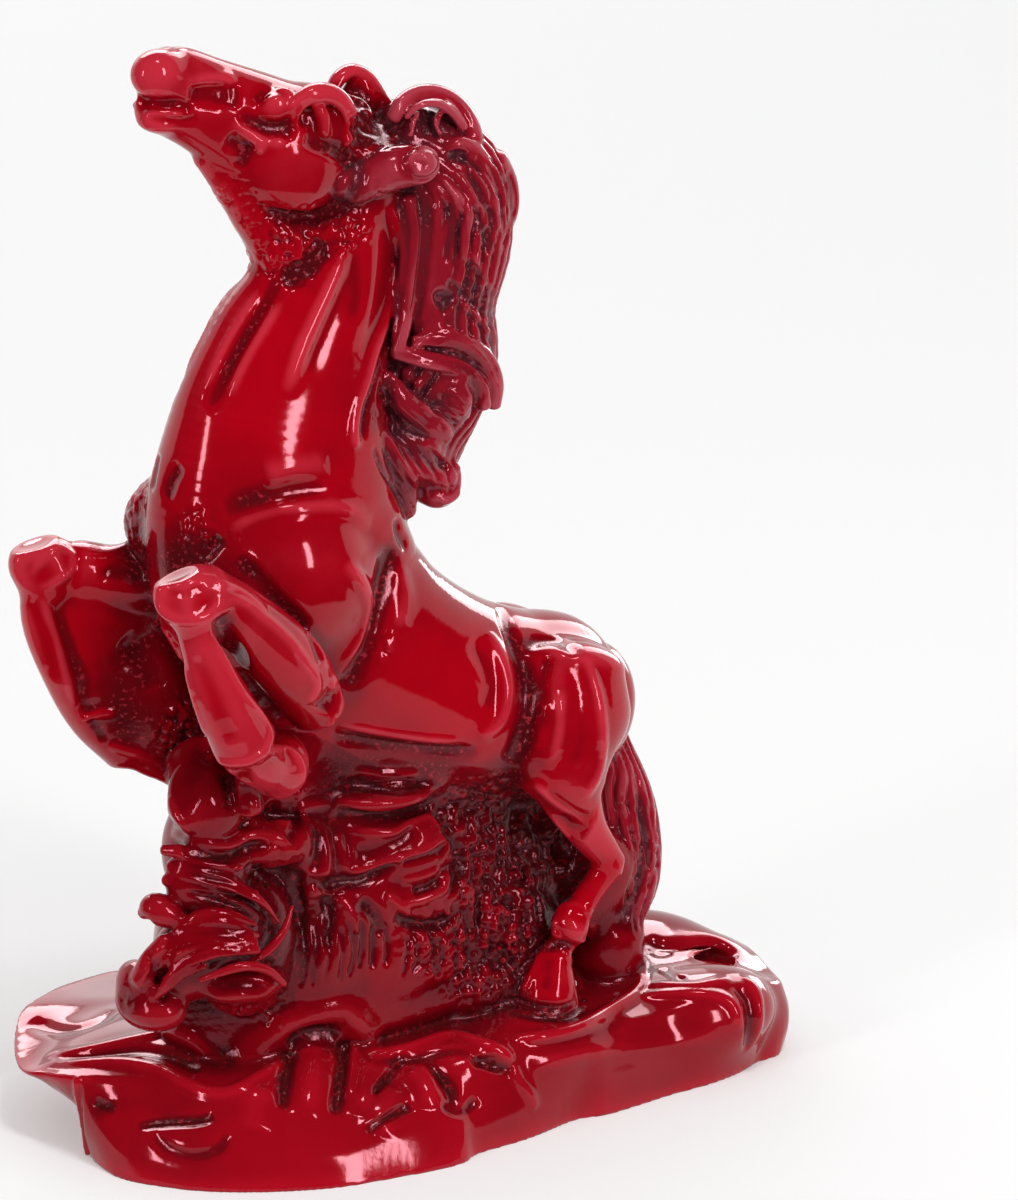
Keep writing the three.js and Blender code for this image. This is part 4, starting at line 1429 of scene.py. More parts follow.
@dataclass
class Base(Part):
    """Wavy rock base with boulders at its brim."""

    pieces: Sequence[Piece] = (Piece.BASE,)
    slot: str = "base_resin"
    top: float = 11.0
    centre: tuple[float, float] = (0, 3)
    rows: Sequence[Row] = (
        (-32.2, 8.6, -40.6, 11, 7.4), (-36.6, 2.4, -39.6, 6.5, 8), (-37.2, -3.6, -35.4, 0, 8.8),
        (-33.6, -9.4, -30.4, -4, 9.2), (-27.4, -14.6, -25.2, -9.5, 8.8), (-20, -17.6, -19, -10.8, 8.8),
        (-12, -18.6, -11.5, -12.4, 8.4), (-5, -18.5, -5, -13.6, 8.2), (1, -16.6, 2, -13.4, 8.8),
        (7.4, -15.2, 7.5, -13.6, 9), (15, -14.4, 15, -12.6, 9), (22, -13.2, 22, -11.4, 8.6),
        (29, -12.2, 29, -11, 7.5), (35.4, -9.8, 35.4, -9, 8), (41.2, -4.4, 41.5, -4.4, 7.2),
        (41.6, 2, 41.4, 2, 8.4), (38.2, 8, 37.4, 7, 9), (28, 14, 26, 12, 9), (15, 17.5, 14, 15.5, 9),
        (0, 19.5, 0, 17.5, 9), (-13, 20.5, -13, 21, 9.4), (-22, 20.6, -23.5, 24.8, 10.4),
        (-28, 18, -31.8, 22.3, 10), (-29.4, 12.4, -38.2, 17.6, 8.4))
    boulders: Sequence[Lump] = (
        Lump((30.5, -8.4, 6.2), (7.6, 5.2, 4.8)), Lump((32.4, 1, 7.2), (7.8, 6, 4.2)),
        Lump((8.6, -9, 6.6), (7.4, 5.2, 4.6)), Lump((-28, 6.6, 7.2), (9.4, 8, 3.6)),
        Lump((29.5, 6, 8.6), (8, 6, 4.2)), Lump((-7, 17.6, 5.2), (7.4, 3.4, 4.4), 8),
        Lump((9.5, 16, 6.6), (8, 3, 3.2), -6), Lump((24, 13, 5), (6.6, 3.2, 4.6)),
        Lump((-20, 20.4, 5.4), (5.6, 3.6, 4.2)), Lump((1, 14.6, 9.4), (5, 4, 2.4)),
        Lump((-17, 15, 9.6), (6, 4.4, 2.2)), seen_lump(470, 1062, -12, (4, 2.2, 1.8), -10))
    dents: Sequence[Lump] = (
        seen_lump(215, 1062, -12, (2.4, 1.8, 1.6), -20), seen_lump(160, 1130, -15.8, (4.6, 2, 1.6), 10),
        seen_lump(700, 962, -2, (3.8, 3.2, 1.3)), seen_lump(492, 1064, -15.2, (1.8, 1.6, .8)),
        seen_lump(375, 1075, -15.6, (1.2, 2, 3), 25), seen_lump(300, 1090, -17.4, (1, 2, 3.4)))
    creases: Sequence[Stroke] = (
        score(.6, 1, 30, 1020, 60, 1030, 100, 1020, 125, 1000, 135, 985),
        score(-.9, .6, 43, 1057, 100, 1047, 140, 1038, 170, 1033, 190, 1040, 205, 1050, 228, 1065),
        score(.8, .7, 60, 1058, 110, 1052, 150, 1050, 180, 1060, 200, 1072),
        score(-.9, .65, 40, 1063, 110, 1061, 140, 1065, 165, 1072, 185, 1083, 205, 1092, 228, 1093, 245,
            1085, 265, 1073, 282, 1063, 290, 1050),
        score(-1.3, 1.3, 228, 1060, 250, 1050, 272, 1036, 292, 1022, 318, 1014, 345, 1012, 362, 1028, 382,
            1040), score(.8, .8, 286, 1046, 300, 1032, 320, 1028, 340, 1034),
        score(.5, .45, 94, 1102, 104, 1106, 116, 1107),
        score(1.1, .45, 135, 1126, 165, 1123, 195, 1121, 215, 1117),
        score(.6, .6, 150, 1133, 170, 1150, 195, 1156, 220, 1148, 228, 1132),
        score(1.1, .7, 290, 1050, 286, 1075, 282, 1110), score(1.5, .6, 345, 1040, 342, 1075, 335, 1115),
        score(-.5, .5, 352, 1042, 350, 1070, 345, 1100), score(-.7, 1.4, 312, 1040, 312, 1075, 308, 1120),
        score(-.6, 2, 262, 1085, 256, 1110, 252, 1135), score(-.7, 1.2, 370, 1060, 366, 1085, 360, 1115),
        score(-.6, 1.4, 392, 1085, 384, 1110, 378, 1135), score(-.7, 1.2, 425, 1062, 428, 1085, 430, 1110),
        score(.9, .5, 404, 1052, 392, 1070, 380, 1085, 372, 1098),
        score(1, .5, 366, 1132, 380, 1122, 398, 1112, 412, 1106),
        score(-.5, .6, 372, 1085, 385, 1072, 396, 1066),
        score(1, .7, 425, 1060, 440, 1076, 452, 1092, 455, 1110),
        score(-.5, .9, 408, 1070, 420, 1084, 432, 1100), score(.7, .5, 440, 1105, 462, 1112, 478, 1100),
        score(-.9, .6, 367, 1054, 407, 1048, 449, 1035, 475, 1040, 500, 1050, 514, 1062),
        score(.6, .5, 380, 1062, 420, 1058, 455, 1050, 480, 1056),
        score(.9, .4, 470, 1058, 490, 1066, 512, 1070),
        score(-.5, .6, 512, 1062, 518, 1080, 530, 1095, 536, 1110),
        score(-.8, .6, 512, 1038, 539, 1037, 564, 1032, 590, 1022, 615, 1008, 640, 992),
        score(.4, .8, 520, 1046, 560, 1042, 600, 1032, 630, 1018),
        score(-.7, .5, 640, 996, 665, 994, 695, 993, 722, 997, 735, 1008, 740, 1030),
        score(-.35, 1, 528, 1068, 570, 1056, 620, 1048, 680, 1042, 720, 1036),
        score(1.3, .6, 736, 985, 748, 1000, 752, 1020, 748, 1050),
        score(-.4, .5, 742, 975, 756, 990, 760, 1015, 755, 1045),
        score(1, .7, 645, 938, 660, 945, 690, 942, 715, 940, 740, 955),
        score(-.5, .5, 650, 985, 670, 985, 700, 985, 730, 978), score(.6, .5, 650, 947, 660, 953, 672, 950),
        score(.5, .5, 662, 968, 675, 976, 685, 980))
    # Spots of painted shade.
    shade_spots: Sequence[Row] = (
        (215, 1065, 2.4, .7), (318, 1034, 1.8, .2), (120, 1035, 2.4, .3), (172, 1122, 2.4, .5),
        (285, 1012, 3, .25), (488, 1066, 1.8, .7), (640, 1018, 2.4, .4), (700, 962, 3, .2),
        (655, 960, 2, .3), (342, 1085, 1.6, .6), (286, 1085, 1.6, .5), (375, 1080, 1.6, .5),
        (445, 1085, 1.8, .4), (755, 1015, 2, .5), (130, 1000, 2, .5), (210, 1150, 3, .2),
        (560, 1015, 3, .3), (600, 1000, 3, .3), (100, 1110, 2, .4))

    def shape(self, field_: Field) -> None:
        """Join the slab and its boulders, and hollow out its dents.

        Args:
            field_: The field that takes them.
        """
        field_.add([Slab(self.rows, self.top, self.centre)], Piece.BASE, 1.0)
        field_.add(self.boulders, Piece.BASE, 2.4)
        field_.cut(self.dents, 0.8)


@dataclass
class RockPillar(Part):
    """Craggy rock that rises from the base to the horse's belly."""

    pieces: Sequence[Piece] = (Piece.ROCK_PILLAR,)
    slot: str = "rock_resin"
    sides: Sides = Sides.BOTH
    core: Limb = Limb(((-5.6, 1, 12.6, 1, 1), (-6.2, 1, 17, .98, .98), (-7.6, 1, 23, .93, .92),
        (-9.8, 1, 29, .88, .82), (-12.6, 1, 35.5, .8, .7), (-16.5, 0, 40.5, .66, .46)), 8.8, 22)
    rocks: Sequence[Lump] = (
        seen_lump(206, 802, -4.6, (4.4, 3.8, 4.9), flats=9),
        seen_lump(275, 842, -5.6, (4.6, 2.8, 2.6), flats=4),
        seen_lump(392, 848, -5.2, (7.4, 3, 3.6), flats=9),
        seen_lump(310, 862, -5.4, (2.6, 2.6, 4.4), flats=6),
        seen_lump(415, 892, -4.8, (6, 3.2, 3.2), flats=9),
        seen_lump(355, 905, -4.4, (6, 3.6, 4.4), flats=9), seen_lump(325, 955, -5, (6, 3, 5.2), flats=8),
        Lump((8.6, -1.6, 18), (9.5, 5.6, 8.6), flats=8), seen_lump(405, 955, -5, (7, 3.4, 4.6), flats=9),
        Lump((10.5, 1.5, 25), (10, 6.4, 10.5), flats=8), seen_lump(385, 795, -5.2, (6.4, 3, 1.6), flats=5),
        seen_lump(212, 788, 2.5, (4.2, 4.4, 5.6)), seen_lump(585, 872, -2, (5.2, 4.6, 6.5), flats=6),
        seen_lump(490, 980, -4.4, (8.5, 3.6, 4), flats=8),
        seen_lump(605, 945, -1.5, (4.6, 4.4, 6.5), flats=6), seen_lump(194, 852, -2, (2.8, 4.4, 5.8)),
        seen_lump(228, 842, -4.6, (4.4, 2.6, 3)), seen_lump(206, 768, -2, (4, 4, 3.2)))
    far_corner: Sequence[Lump] = (
        Lump((-20.4, 5.4, 16.6), (6.8, 4, 5.4), 24, 12), Lump((-18.4, 5.4, 26), (7.2, 3.8, 4.8), -26, 12),
        Lump((-25, 2.6, 21.4), (3.6, 4.4, 6.4), 10, 9), Lump((-21, 3.8, 32.6), (6.4, 3.8, 4), -12, 10),
        Lump((-11, 7, 20), (5, 3.2, 7.4), 14, 11), Lump((-12.4, 6.4, 31.2), (7, 3.2, 4.4), -16, 10))
    column: Limb = seen_limb((246, 752, -8.4, 1.3), (246, 778, -8.2, 1.2), (249, 806, -7.8, 1.5))
    creases: Sequence[Stroke] = (
        score(-.6, .4, 170, 795, 174, 812, 182, 825, 190, 835),
        score(-.9, .45, 170, 833, 190, 838, 210, 845, 228, 847, 240, 843, 250, 836, 265, 835, 280, 838, 290,
            845), score(1.2, .6, 178, 845, 205, 854, 230, 855, 250, 846, 270, 846),
        score(.8, .6, 243, 770, 246, 800, 244, 830), score(.6, .6, 225, 772, 228, 790, 230, 812),
        score(.9, .6, 300, 812, 296, 828, 288, 842), score(1.2, .7, 262, 808, 280, 814, 300, 812),
        score(-.5, .4, 270, 818, 285, 822, 300, 816, 308, 822), score(1, .7, 318, 825, 320, 850, 316, 875),
        score(-.9, .4, 337, 832, 340, 850, 346, 873),
        score(-.9, .4, 346, 874, 370, 868, 395, 860, 430, 850, 446, 836),
        score(-.8, .4, 345, 829, 370, 831, 396, 832, 410, 822, 430, 817, 444, 830),
        score(1.3, .9, 355, 855, 375, 852, 400, 843, 418, 830),
        score(1.4, .6, 305, 880, 320, 884, 345, 882, 360, 881, 380, 870, 400, 862),
        score(1, .6, 400, 862, 425, 856, 448, 846), score(-.8, .4, 395, 905, 420, 900, 447, 885, 447, 872),
        score(-.7, .4, 400, 880, 420, 876, 440, 868), score(.9, .5, 412, 892, 428, 888, 440, 880),
        score(-.7, .45, 385, 893, 400, 905, 410, 920), score(-.6, .45, 340, 895, 352, 915, 356, 935),
        score(.9, .6, 360, 900, 375, 915, 382, 935), score(.8, .6, 325, 895, 330, 920, 326, 950),
        score(1.1, .6, 335, 812, 360, 814, 395, 814, 430, 806),
        score(-.6, .4, 335, 800, 360, 804, 395, 803, 430, 796),
        score(.9, .5, 335, 782, 365, 786, 400, 790, 430, 782), score(-.5, .4, 355, 770, 385, 774, 420, 772),
        score(1.2, .8, 430, 812, 450, 830, 458, 860, 452, 895), score(1, .6, 395, 915, 420, 925, 450, 920),
        score(.9, .7, 300, 870, 298, 900, 302, 930),
        score(1.6, 1.6, 505, 815, 530, 820, 560, 825, 590, 832),
        score(1, 1.2, 505, 845, 540, 850, 575, 855))
    combs: Sequence[Comb] = (
        Comb(((300, 925), (302, 955), (298, 990)), ((388, 915), (392, 945), (388, 972)), 8, .7, .26, 1),
        Comb(((395, 925), (400, 955), (396, 985)), ((470, 925), (475, 950), (470, 975)), 6, .6, .26, 1.4))
    # Spots of painted shade, such as the shadow under the thigh.
    shade_spots: Sequence[Row] = (
        (520, 820, 5, .7), (550, 860, 5, .7), (560, 905, 5, .6), (490, 860, 5, .5), (520, 940, 5, .5),
        (595, 935, 3.5, .5), (480, 785, 4, .6), (420, 775, 3, .5), (340, 790, 3, .5), (300, 870, 3.5, .5),
        (320, 905, 3, .4), (270, 815, 1.8, .7), (322, 840, 2.2, .5), (200, 858, 3, .4), (460, 900, 4, .4),
        (300, 950, 3, .5), (360, 925, 2.5, .4), (440, 960, 4, .3), (500, 990, 4, .5), (330, 765, 3, .4))
    patches: Sequence[Row] = (
        (490, 880, 7.6, .8, 1.25), (470, 820, 7, .7, 1.2), (480, 950, 7, .7, 1.2), (515, 920, 5, .8, 1.2),
        (430, 940, 5, .5, 1), (320, 900, 4, .35, 1), (535, 850, 5, .7, 1.2), (270, 860, 4, .3, 1),
        (185, 730, 3.5, .45, .9))

    def shape(self, field_: Field) -> None:
        """Join the core and its rocks.

        Args:
            field_: The field that takes them.
        """
        field_.add([self.core], Piece.ROCK_PILLAR, 1.0)
        field_.add([*self.rocks, *self.far_rocks(), *self.far_corner], Piece.ROCK_PILLAR, 1.3)
        field_.add([self.column], Piece.ROCK_PILLAR, 0.6)

    def far_rocks(self) -> list[Lump]:
        """Lay rocks on the far side, like those of the near face but shifted and turned.

        Returns:
            The rocks.
        """
        near = [rock for rock in self.rocks if rock.centre[1] < -4 and rock.centre[0] > -18]
        far = []
        for k, rock in enumerate(near):
            x, y, z = rock.centre
            lift = 1.8 if k % 2 else -0.6
            place = (x * 0.93 + 2.6, 2.6 - y, z * 0.95 + lift)
            far.append(Lump(place, rock.radii, 14 * (-1) ** k, rock.flats))
        return far


@dataclass
class GrassTuft(Part):
    """Tuft of broad blades against the front of the rock."""

    pieces: Sequence[Piece] = (Piece.GRASS_TUFT,)
    slot: str = "rock_resin"
    core: Sequence[Lump] = (
        Lump((-22.6, -4.6, 23), (6, 4, 8)), seen_lump(190, 958, -6, (4, 3, 4.6)),
        seen_lump(208, 876, -6, (4.6, 2.6, 4.4)), seen_lump(225, 925, -7.2, (4.6, 2.8, 4.2)),
        seen_lump(243, 983, -8.2, (4.4, 2.7, 1.9)), seen_lump(152, 1004, -4, (3.4, 4.4, 2.6)),
        seen_lump(138, 988, -3.6, (1.9, 3, 2.8)))
    blades: Sequence[Limb] = (
        seen_limb((164, 850, -5.4, .5), (185, 852, -6.8, .7), (215, 860, -7.8, .7), (242, 868, -8.4, .45)),
        seen_limb((170, 866, -5.6, .5), (195, 870, -7.2, .65), (228, 878, -8.4, .65), (258, 892, -9, .4)),
        seen_limb((165, 880, -5.6, .5), (195, 884, -7.4, .7), (235, 888, -8.8, .75), (262, 902, -9.4, .6),
            (280, 924, -9.2, .35)),
        seen_limb((172, 896, -6.2, .5), (205, 898, -7.8, .65), (238, 905, -9, .65), (262, 922, -9.4, .4)),
        seen_limb((143, 913, -4.8, .6), (154, 908, -5.8, 1.5), (168, 914, -6.6, 1.5), (184, 922, -7.6, .8),
            (200, 924, -8.2, .4)),
        seen_limb((178, 926, -7.6, .4), (202, 915, -8.8, .7), (228, 914, -9.6, .7), (256, 924, -10, .45)),
        seen_limb((168, 938, -7.4, .45), (195, 926, -8.8, .7), (224, 924, -9.8, .7),
            (258, 936, -10.4, .45)),
        seen_limb((158, 950, -7, .5), (185, 938, -8.4, .75), (215, 932, -9.6, .75), (252, 936, -10.6, .5)),
        seen_limb((158, 968, -7.2, .5), (182, 952, -8.8, .75), (212, 942, -10, .75), (256, 942, -10.9, .5)),
        seen_limb((162, 988, -7.6, .55), (182, 966, -9, .8), (212, 952, -10.4, .8), (258, 950, -11.2, .5)),
        seen_limb((148, 1000, -6.2, .6), (164, 985, -7.8, .8), (186, 972, -9.2, .7), (205, 966, -10, .5)),
        seen_limb((200, 980, -10, .4), (222, 972, -11, .55), (245, 966, -11.5, .6), (268, 970, -11.6, .5),
            (284, 984, -11.4, .35)),
        seen_limb((128, 1004, -4.4, .6), (140, 985, -5.4, 1.1), (152, 962, -6.4, 1.2),
            (165, 940, -7.2, .8)),
        seen_limb((292, 905, -8.6, .4), (284, 930, -9.2, .6), (268, 950, -10, .6), (250, 962, -10.8, .4)))
    creases: Sequence[Stroke] = (
        score(.8, .4, 175, 985, 200, 968, 225, 958, 258, 955), score(.5, .5, 135, 940, 150, 960, 160, 985),
        score(-.5, .35, 140, 990, 150, 965, 163, 945), score(.9, .6, 210, 990, 240, 985, 270, 990))
    combs: Sequence[Comb] = (
        Comb(((170, 846), (200, 852), (240, 862), (270, 882)),
            ((172, 892), (205, 900), (245, 914), (272, 935)), 5, .6, .26, 1),
        Comb(((165, 935), (190, 926), (220, 924), (255, 932)),
            ((160, 985), (185, 966), (215, 955), (262, 952)), 5, .6, .26, 1),
        Comb(((135, 1000), (148, 970), (155, 940)), ((160, 1008), (175, 985), (195, 965)), 3, .6, .3, 1))
    # Spots of painted shade.
    shade_spots: Sequence[Row] = (
        (255, 905, 4, .5), (240, 945, 4, .4), (180, 980, 3, .4), (240, 985, 2.6, .6), (275, 955, 3, .6),
        (145, 940, 2.4, .5), (215, 895, 3, .3), (200, 1000, 3, .6))
    patches: Sequence[Row] = (
        (255, 1008, 3, .4, .9), (275, 1010, 3, .4, .9), (232, 1006, 3, .4, .9))

    def shape(self, field_: Field) -> None:
        """Join the core and its blades."""
        field_.add(self.core, Piece.GRASS_TUFT, 0.8)
        field_.add(self.blades, Piece.GRASS_TUFT, 0.3)


@dataclass
class Body(Part):
    """Torso, neck and head, parted at the throat and below the chest."""

    pieces: Sequence[Piece] = (Piece.TORSO, Piece.NECK, Piece.HEAD)
    slot: str = "body_resin"
    neck_cut: Row = (-15, 69.5, .12, .99)
    throat_cut: Row = (-10.2, 101.2, -.605, .796)
    barrel: Limb = Limb(((-13, 0, 57.6, .95, 1.08), (-6, 0, 50, 1, 1), (2.6, 0, 44.6, .98, .92),
        (10.6, 0, 41.8, .93, .86), (16.4, 0, 40.6, .9, .82), (20.2, 0, 39.4, .72, .62)), 9.8, 11.2, 10)
    chest_to_poll: Limb = Limb(((-13, 0, 52, .86, .78), (-15.4, 0, 58.5, .97, .98), (-16.2, 0, 66, 1, 1),
        (-15.2, 0, 74.5, .86, .9), (-12.8, 0, 82.6, .68, .76), (-9.4, 0, 90.4, .54, .54),
        (-7.2, 0, 96.8, .48, .42), (-6.4, 0, 103, .44, .38)), 9.6, 13.4, 9)
    skull: Limb = Limb(((-7.4, 0, 102.4, .86, .84), (-11.2, 0, 103.2, .96, .94), (-15, 0, 104.4, 1, .92),
        (-19.2, 0, 106.9, .86, .8), (-23.6, 0, 109.4, .7, .7), (-27, 0, 111.2, .66, .66),
        (-28.6, 0, 112, .58, .58)), 5, 6.8)
    shoulder: Lump = Lump((-17, 8, 61.6), (7, 4.4, 6.4), 35)
    far_shoulder: Lump = Lump((-25, 6.4, 65), (4.2, 3.4, 4.6))
    jowl: Lump = Lump((-14.8, 2.6, 102.8), (5, 3.2, 5))
    eye: Lump = seen_lump(278, 105, -3.7, (2.1, 1.3, 1.6), -20)
    lips: Sequence[Lump] = (
        seen_lump(157, 74, -1.2, (2.9, 2.4, 2.6)), seen_lump(160, 119, -.9, (2.4, 2, 1.4)))
    throat: Limb = seen_limb((205, 158, 0, 1.1), (232, 184, 0, 2), (258, 212, 0, 2.9), (282, 240, 0, 3.6),
        (290, 270, 0, 3.4))
    near_ear_base: Lump = seen_lump(326, 130, -3.6, (3, 1.5, 3))
    near_ear_cup: Lump = seen_lump(319, 121, -5.9, (1.9, 1.3, 2.3), -15)
    near_ear: Sequence[Limb] = (
        seen_limb((294, 126, -4.7, .7), (297, 107, -5, .85), (308, 96, -5.1, .95), (324, 93, -5.1, 1),
            (339, 99, -5.1, .95), (349, 114, -5, .9), (349, 132, -4.9, .85), (343, 148, -4.7, .7)),
        seen_limb((316, 102, -4.9, .6), (323, 118, -5.1, .8), (324, 136, -4.9, .7)))
    far_ear_base: Lump = seen_lump(359, 100, 2.4, (2.4, 1.3, 2.8))
    far_ear: Limb = seen_limb((332, 93, 2.2, .8), (340, 79, 2.4, .9), (352, 73, 2.6, 1), (366, 79, 2.6, 1),
        (378, 95, 2.4, .9), (386, 109, 2.2, .8))
    face: Sequence[Stroke] = (
        score(1.1, .55, 138, 102, 150, 104, 165, 104, 180, 105, 192, 110, fade=.1),
        score(-.3, .7, 143, 112, 160, 113, 178, 112, 190, 113),
        score(.4, .5, 146, 119, 165, 120, 185, 120, 198, 117), score(1.2, 1.1, 188, 95, 210, 93, 230, 95),
        score(.7, .6, 232, 84, 234, 95, 230, 108), score(-.4, .7, 186, 86, 210, 81, 236, 77),
        score(1.1, .65, 238, 114, 252, 122, 268, 128, 284, 128, 294, 121, 302, 110, 314, 98),
        score(.4, .6, 256, 104, 262, 95, 276, 90, 290, 94),
        score(-.35, .6, 244, 128, 258, 138, 272, 141, 286, 139), score(1, .8, 226, 139, 240, 146, 247, 153),
        score(.9, .6, 250, 142, 246, 154, 238, 168), score(-.4, .5, 250, 134, 260, 142, 259, 154),
        score(-.3, .8, 235, 118, 250, 135, 262, 150), score(.6, .5, 285, 140, 290, 128, 300, 122, 306, 120),
        score(1, .7, 357, 158, 359, 178, 351, 196, 336, 209, 316, 215, 290, 216, 262, 208))
    ears: Sequence[Stroke] = (
        score(1, 1, 346, 84, 352, 96, 358, 108), score(.6, .5, 356, 84, 364, 96, 369, 108),
        score(1, .7, 303, 140, 318, 145, 335, 150, 347, 158, 354, 165),
        score(-.3, .4, 361, 103, 370, 113, 380, 120), score(.8, .6, 356, 118, 354, 138))
    fringe: Sequence[Comb] = (
        Comb(((352, 112), (368, 110), (388, 118)), ((352, 140), (370, 142), (392, 140)), 5, .6, .5),)
    muscles: Sequence[Stroke] = (
        score(1.2, .8, 280, 278, 265, 302, 248, 330, 232, 358, 219, 386, 206, 412, fade=.4),
        score(-.4, .6, 262, 290, 240, 322, 222, 355, 208, 388),
        score(-.4, .6, 280, 300, 262, 330, 244, 362, 228, 395),
        score(1.2, .9, 280, 284, 295, 274, 312, 262, 328, 244),
        score(-1, .9, 346, 250, 328, 290, 312, 325, 298, 358, 284, 396, fade=.3),
        score(.35, 1.6, 352, 262, 336, 300, 320, 340, 305, 380),
        score(.4, 1, 352, 250, 357, 270, 358, 295, 352, 325),
        score(-.75, .6, 391, 203, 397, 238, 393, 275, 386, 320, 375, 352, 365, 385, 358, 405, 354, 430, 356,
            450, fade=.1), score(.35, 1.4, 384, 210, 388, 245, 384, 285, 376, 325, 362, 362),
        score(.9, 1.4, 222, 512, 245, 503, 270, 497, 300, 490, 330, 488, fade=.4),
        score(-.5, 1.8, 262, 478, 295, 468, 330, 462),
        score(-.6, .9, 228, 535, 245, 520, 275, 509, 310, 505, 345, 508, 372, 522),
        score(.6, .7, 180, 465, 172, 480, 165, 500), score(.9, .6, 222, 538, 215, 545, 208, 553, 200, 560),
        score(1.2, .7, 236, 558, 255, 575, 272, 594, 292, 614, 308, 630, 317, 646, 324, 662),
        score(-.4, .5, 252, 570, 270, 590, 290, 610),
        score(1.3, 1.3, 392, 545, 386, 575, 380, 605, 372, 640, 355, 672, 338, 695, 322, 714),
        score(-.7, .8, 345, 562, 362, 583, 369, 605, 364, 635, 350, 662, 332, 692),
        score(-.4, 1.2, 398, 565, 405, 595, 398, 630), score(.7, .7, 397, 518, 400, 535, 408, 548),
        score(1.4, .9, 503, 606, 510, 630, 520, 655, 529, 685, 529, 715, 522, 742, 508, 765),
        score(-.6, .8, 488, 630, 503, 662, 508, 695, 500, 722, 478, 740),
        score(.3, 1.2, 470, 640, 486, 665, 492, 690, 484, 712), score(.6, .6, 548, 655, 543, 680, 541, 705),
        score(-.6, .45, 536, 712, 528, 735, 516, 752),
        score(-.5, .5, 330, 722, 370, 730, 420, 738, 462, 742),
        score(.8, .8, 330, 735, 380, 744, 430, 750, 480, 752),
        score(.6, .8, 520, 648, 535, 640, 560, 641, 580, 655))
    # Spots of painted shade, such as under the belly.
    shade_spots: Sequence[Row] = (
        (300, 245, 3, .45), (272, 232, 3, .4), (345, 212, 3, .5), (335, 250, 2, .3), (300, 275, 1.8, .4),
        (250, 502, 2.2, .3), (172, 482, 1.6, .4), (205, 552, 2, .5), (240, 575, 1.8, .5),
        (385, 560, 2.2, .6), (378, 590, 2, .4), (350, 692, 2.4, .5), (330, 715, 2, .5), (518, 640, 1.6, .4),
        (530, 690, 1.4, .5), (525, 735, 1.8, .5), (512, 770, 3, .7), (450, 762, 3, .6), (380, 752, 3, .5),
        (275, 118, 1.4, .4), (340, 142, 2, .6), (232, 96, 1, .3), (246, 147, 1, .35), (168, 104, 1, .2),
        (358, 96, 2.4, .6), (320, 120, 1.6, .6), (360, 130, 2.6, .6), (355, 190, 2.2, .5),
        (395, 545, 1.4, .4))
    patches: Sequence[Row] = (
        (235, 195, 2.6, .3, .7), (262, 222, 3, .35, .8), (285, 250, 3, .35, .8), (300, 240, 5, .4, 1),
        (330, 235, 3.5, .4, .9), (275, 262, 3, .35, .9), (352, 228, 3, .4, .8), (290, 282, 2.4, .3, .8),
        (198, 530, 2.8, .45, .9), (310, 262, 2.5, .35, .8), (378, 645, 2.4, .35, .8),
        (372, 195, 2.5, .3, .8))

    def shape(self, field_: Field) -> None:
        """Join the body's forms.

        Args:
            field_: The field that takes them.
        """
        field_.add([self.barrel, self.chest_to_poll], Piece.TORSO, 3.0)
        field_.add(both(self.shoulder) + [self.far_shoulder], Piece.TORSO, 2.5)
        field_.add([self.skull], Piece.HEAD, 1.2)
        field_.add(both(self.jowl), Piece.HEAD, 1.5)
        field_.add(both(self.eye), Piece.HEAD, 0.6)
        field_.add(self.lips, Piece.HEAD, 1.0)
        field_.add([self.throat], Piece.NECK, 1.2)
        field_.add([self.near_ear_base, self.far_ear_base], Piece.HEAD, 0.8)
        field_.cut([self.near_ear_cup], 0.4)
        field_.add([*self.near_ear, self.far_ear], Piece.HEAD, 0.35)

    def carve(self, field_: Field) -> None:
        """Cut the face, the muscles and the pebbled throat.

        Args:
            field_: The field that they are cut into.
        """
        field_.draw(self.face, Sides.BOTH)
        field_.draw(self.ears)
        for comb in self.fringe:
            field_.draw(comb.strokes())
        field_.draw(self.muscles, Sides.BOTH)
        field_.roughen(self.patches, Sides.BOTH)

    def part_neck(self, field_: Field) -> None:
        """Give the neck and the head their share of the body.

        Args:
            field_: The field that holds the body.
        """
        mine = (field_.owner == Piece.TORSO) | (field_.owner == Piece.HEAD)
        above, ahead = field_.past(self.neck_cut), field_.past(self.throat_cut)
        field_.owner[mine & above] = Piece.NECK
        field_.owner[mine & above & ahead] = Piece.HEAD
        field_.owner[mine & ~above] = Piece.TORSO


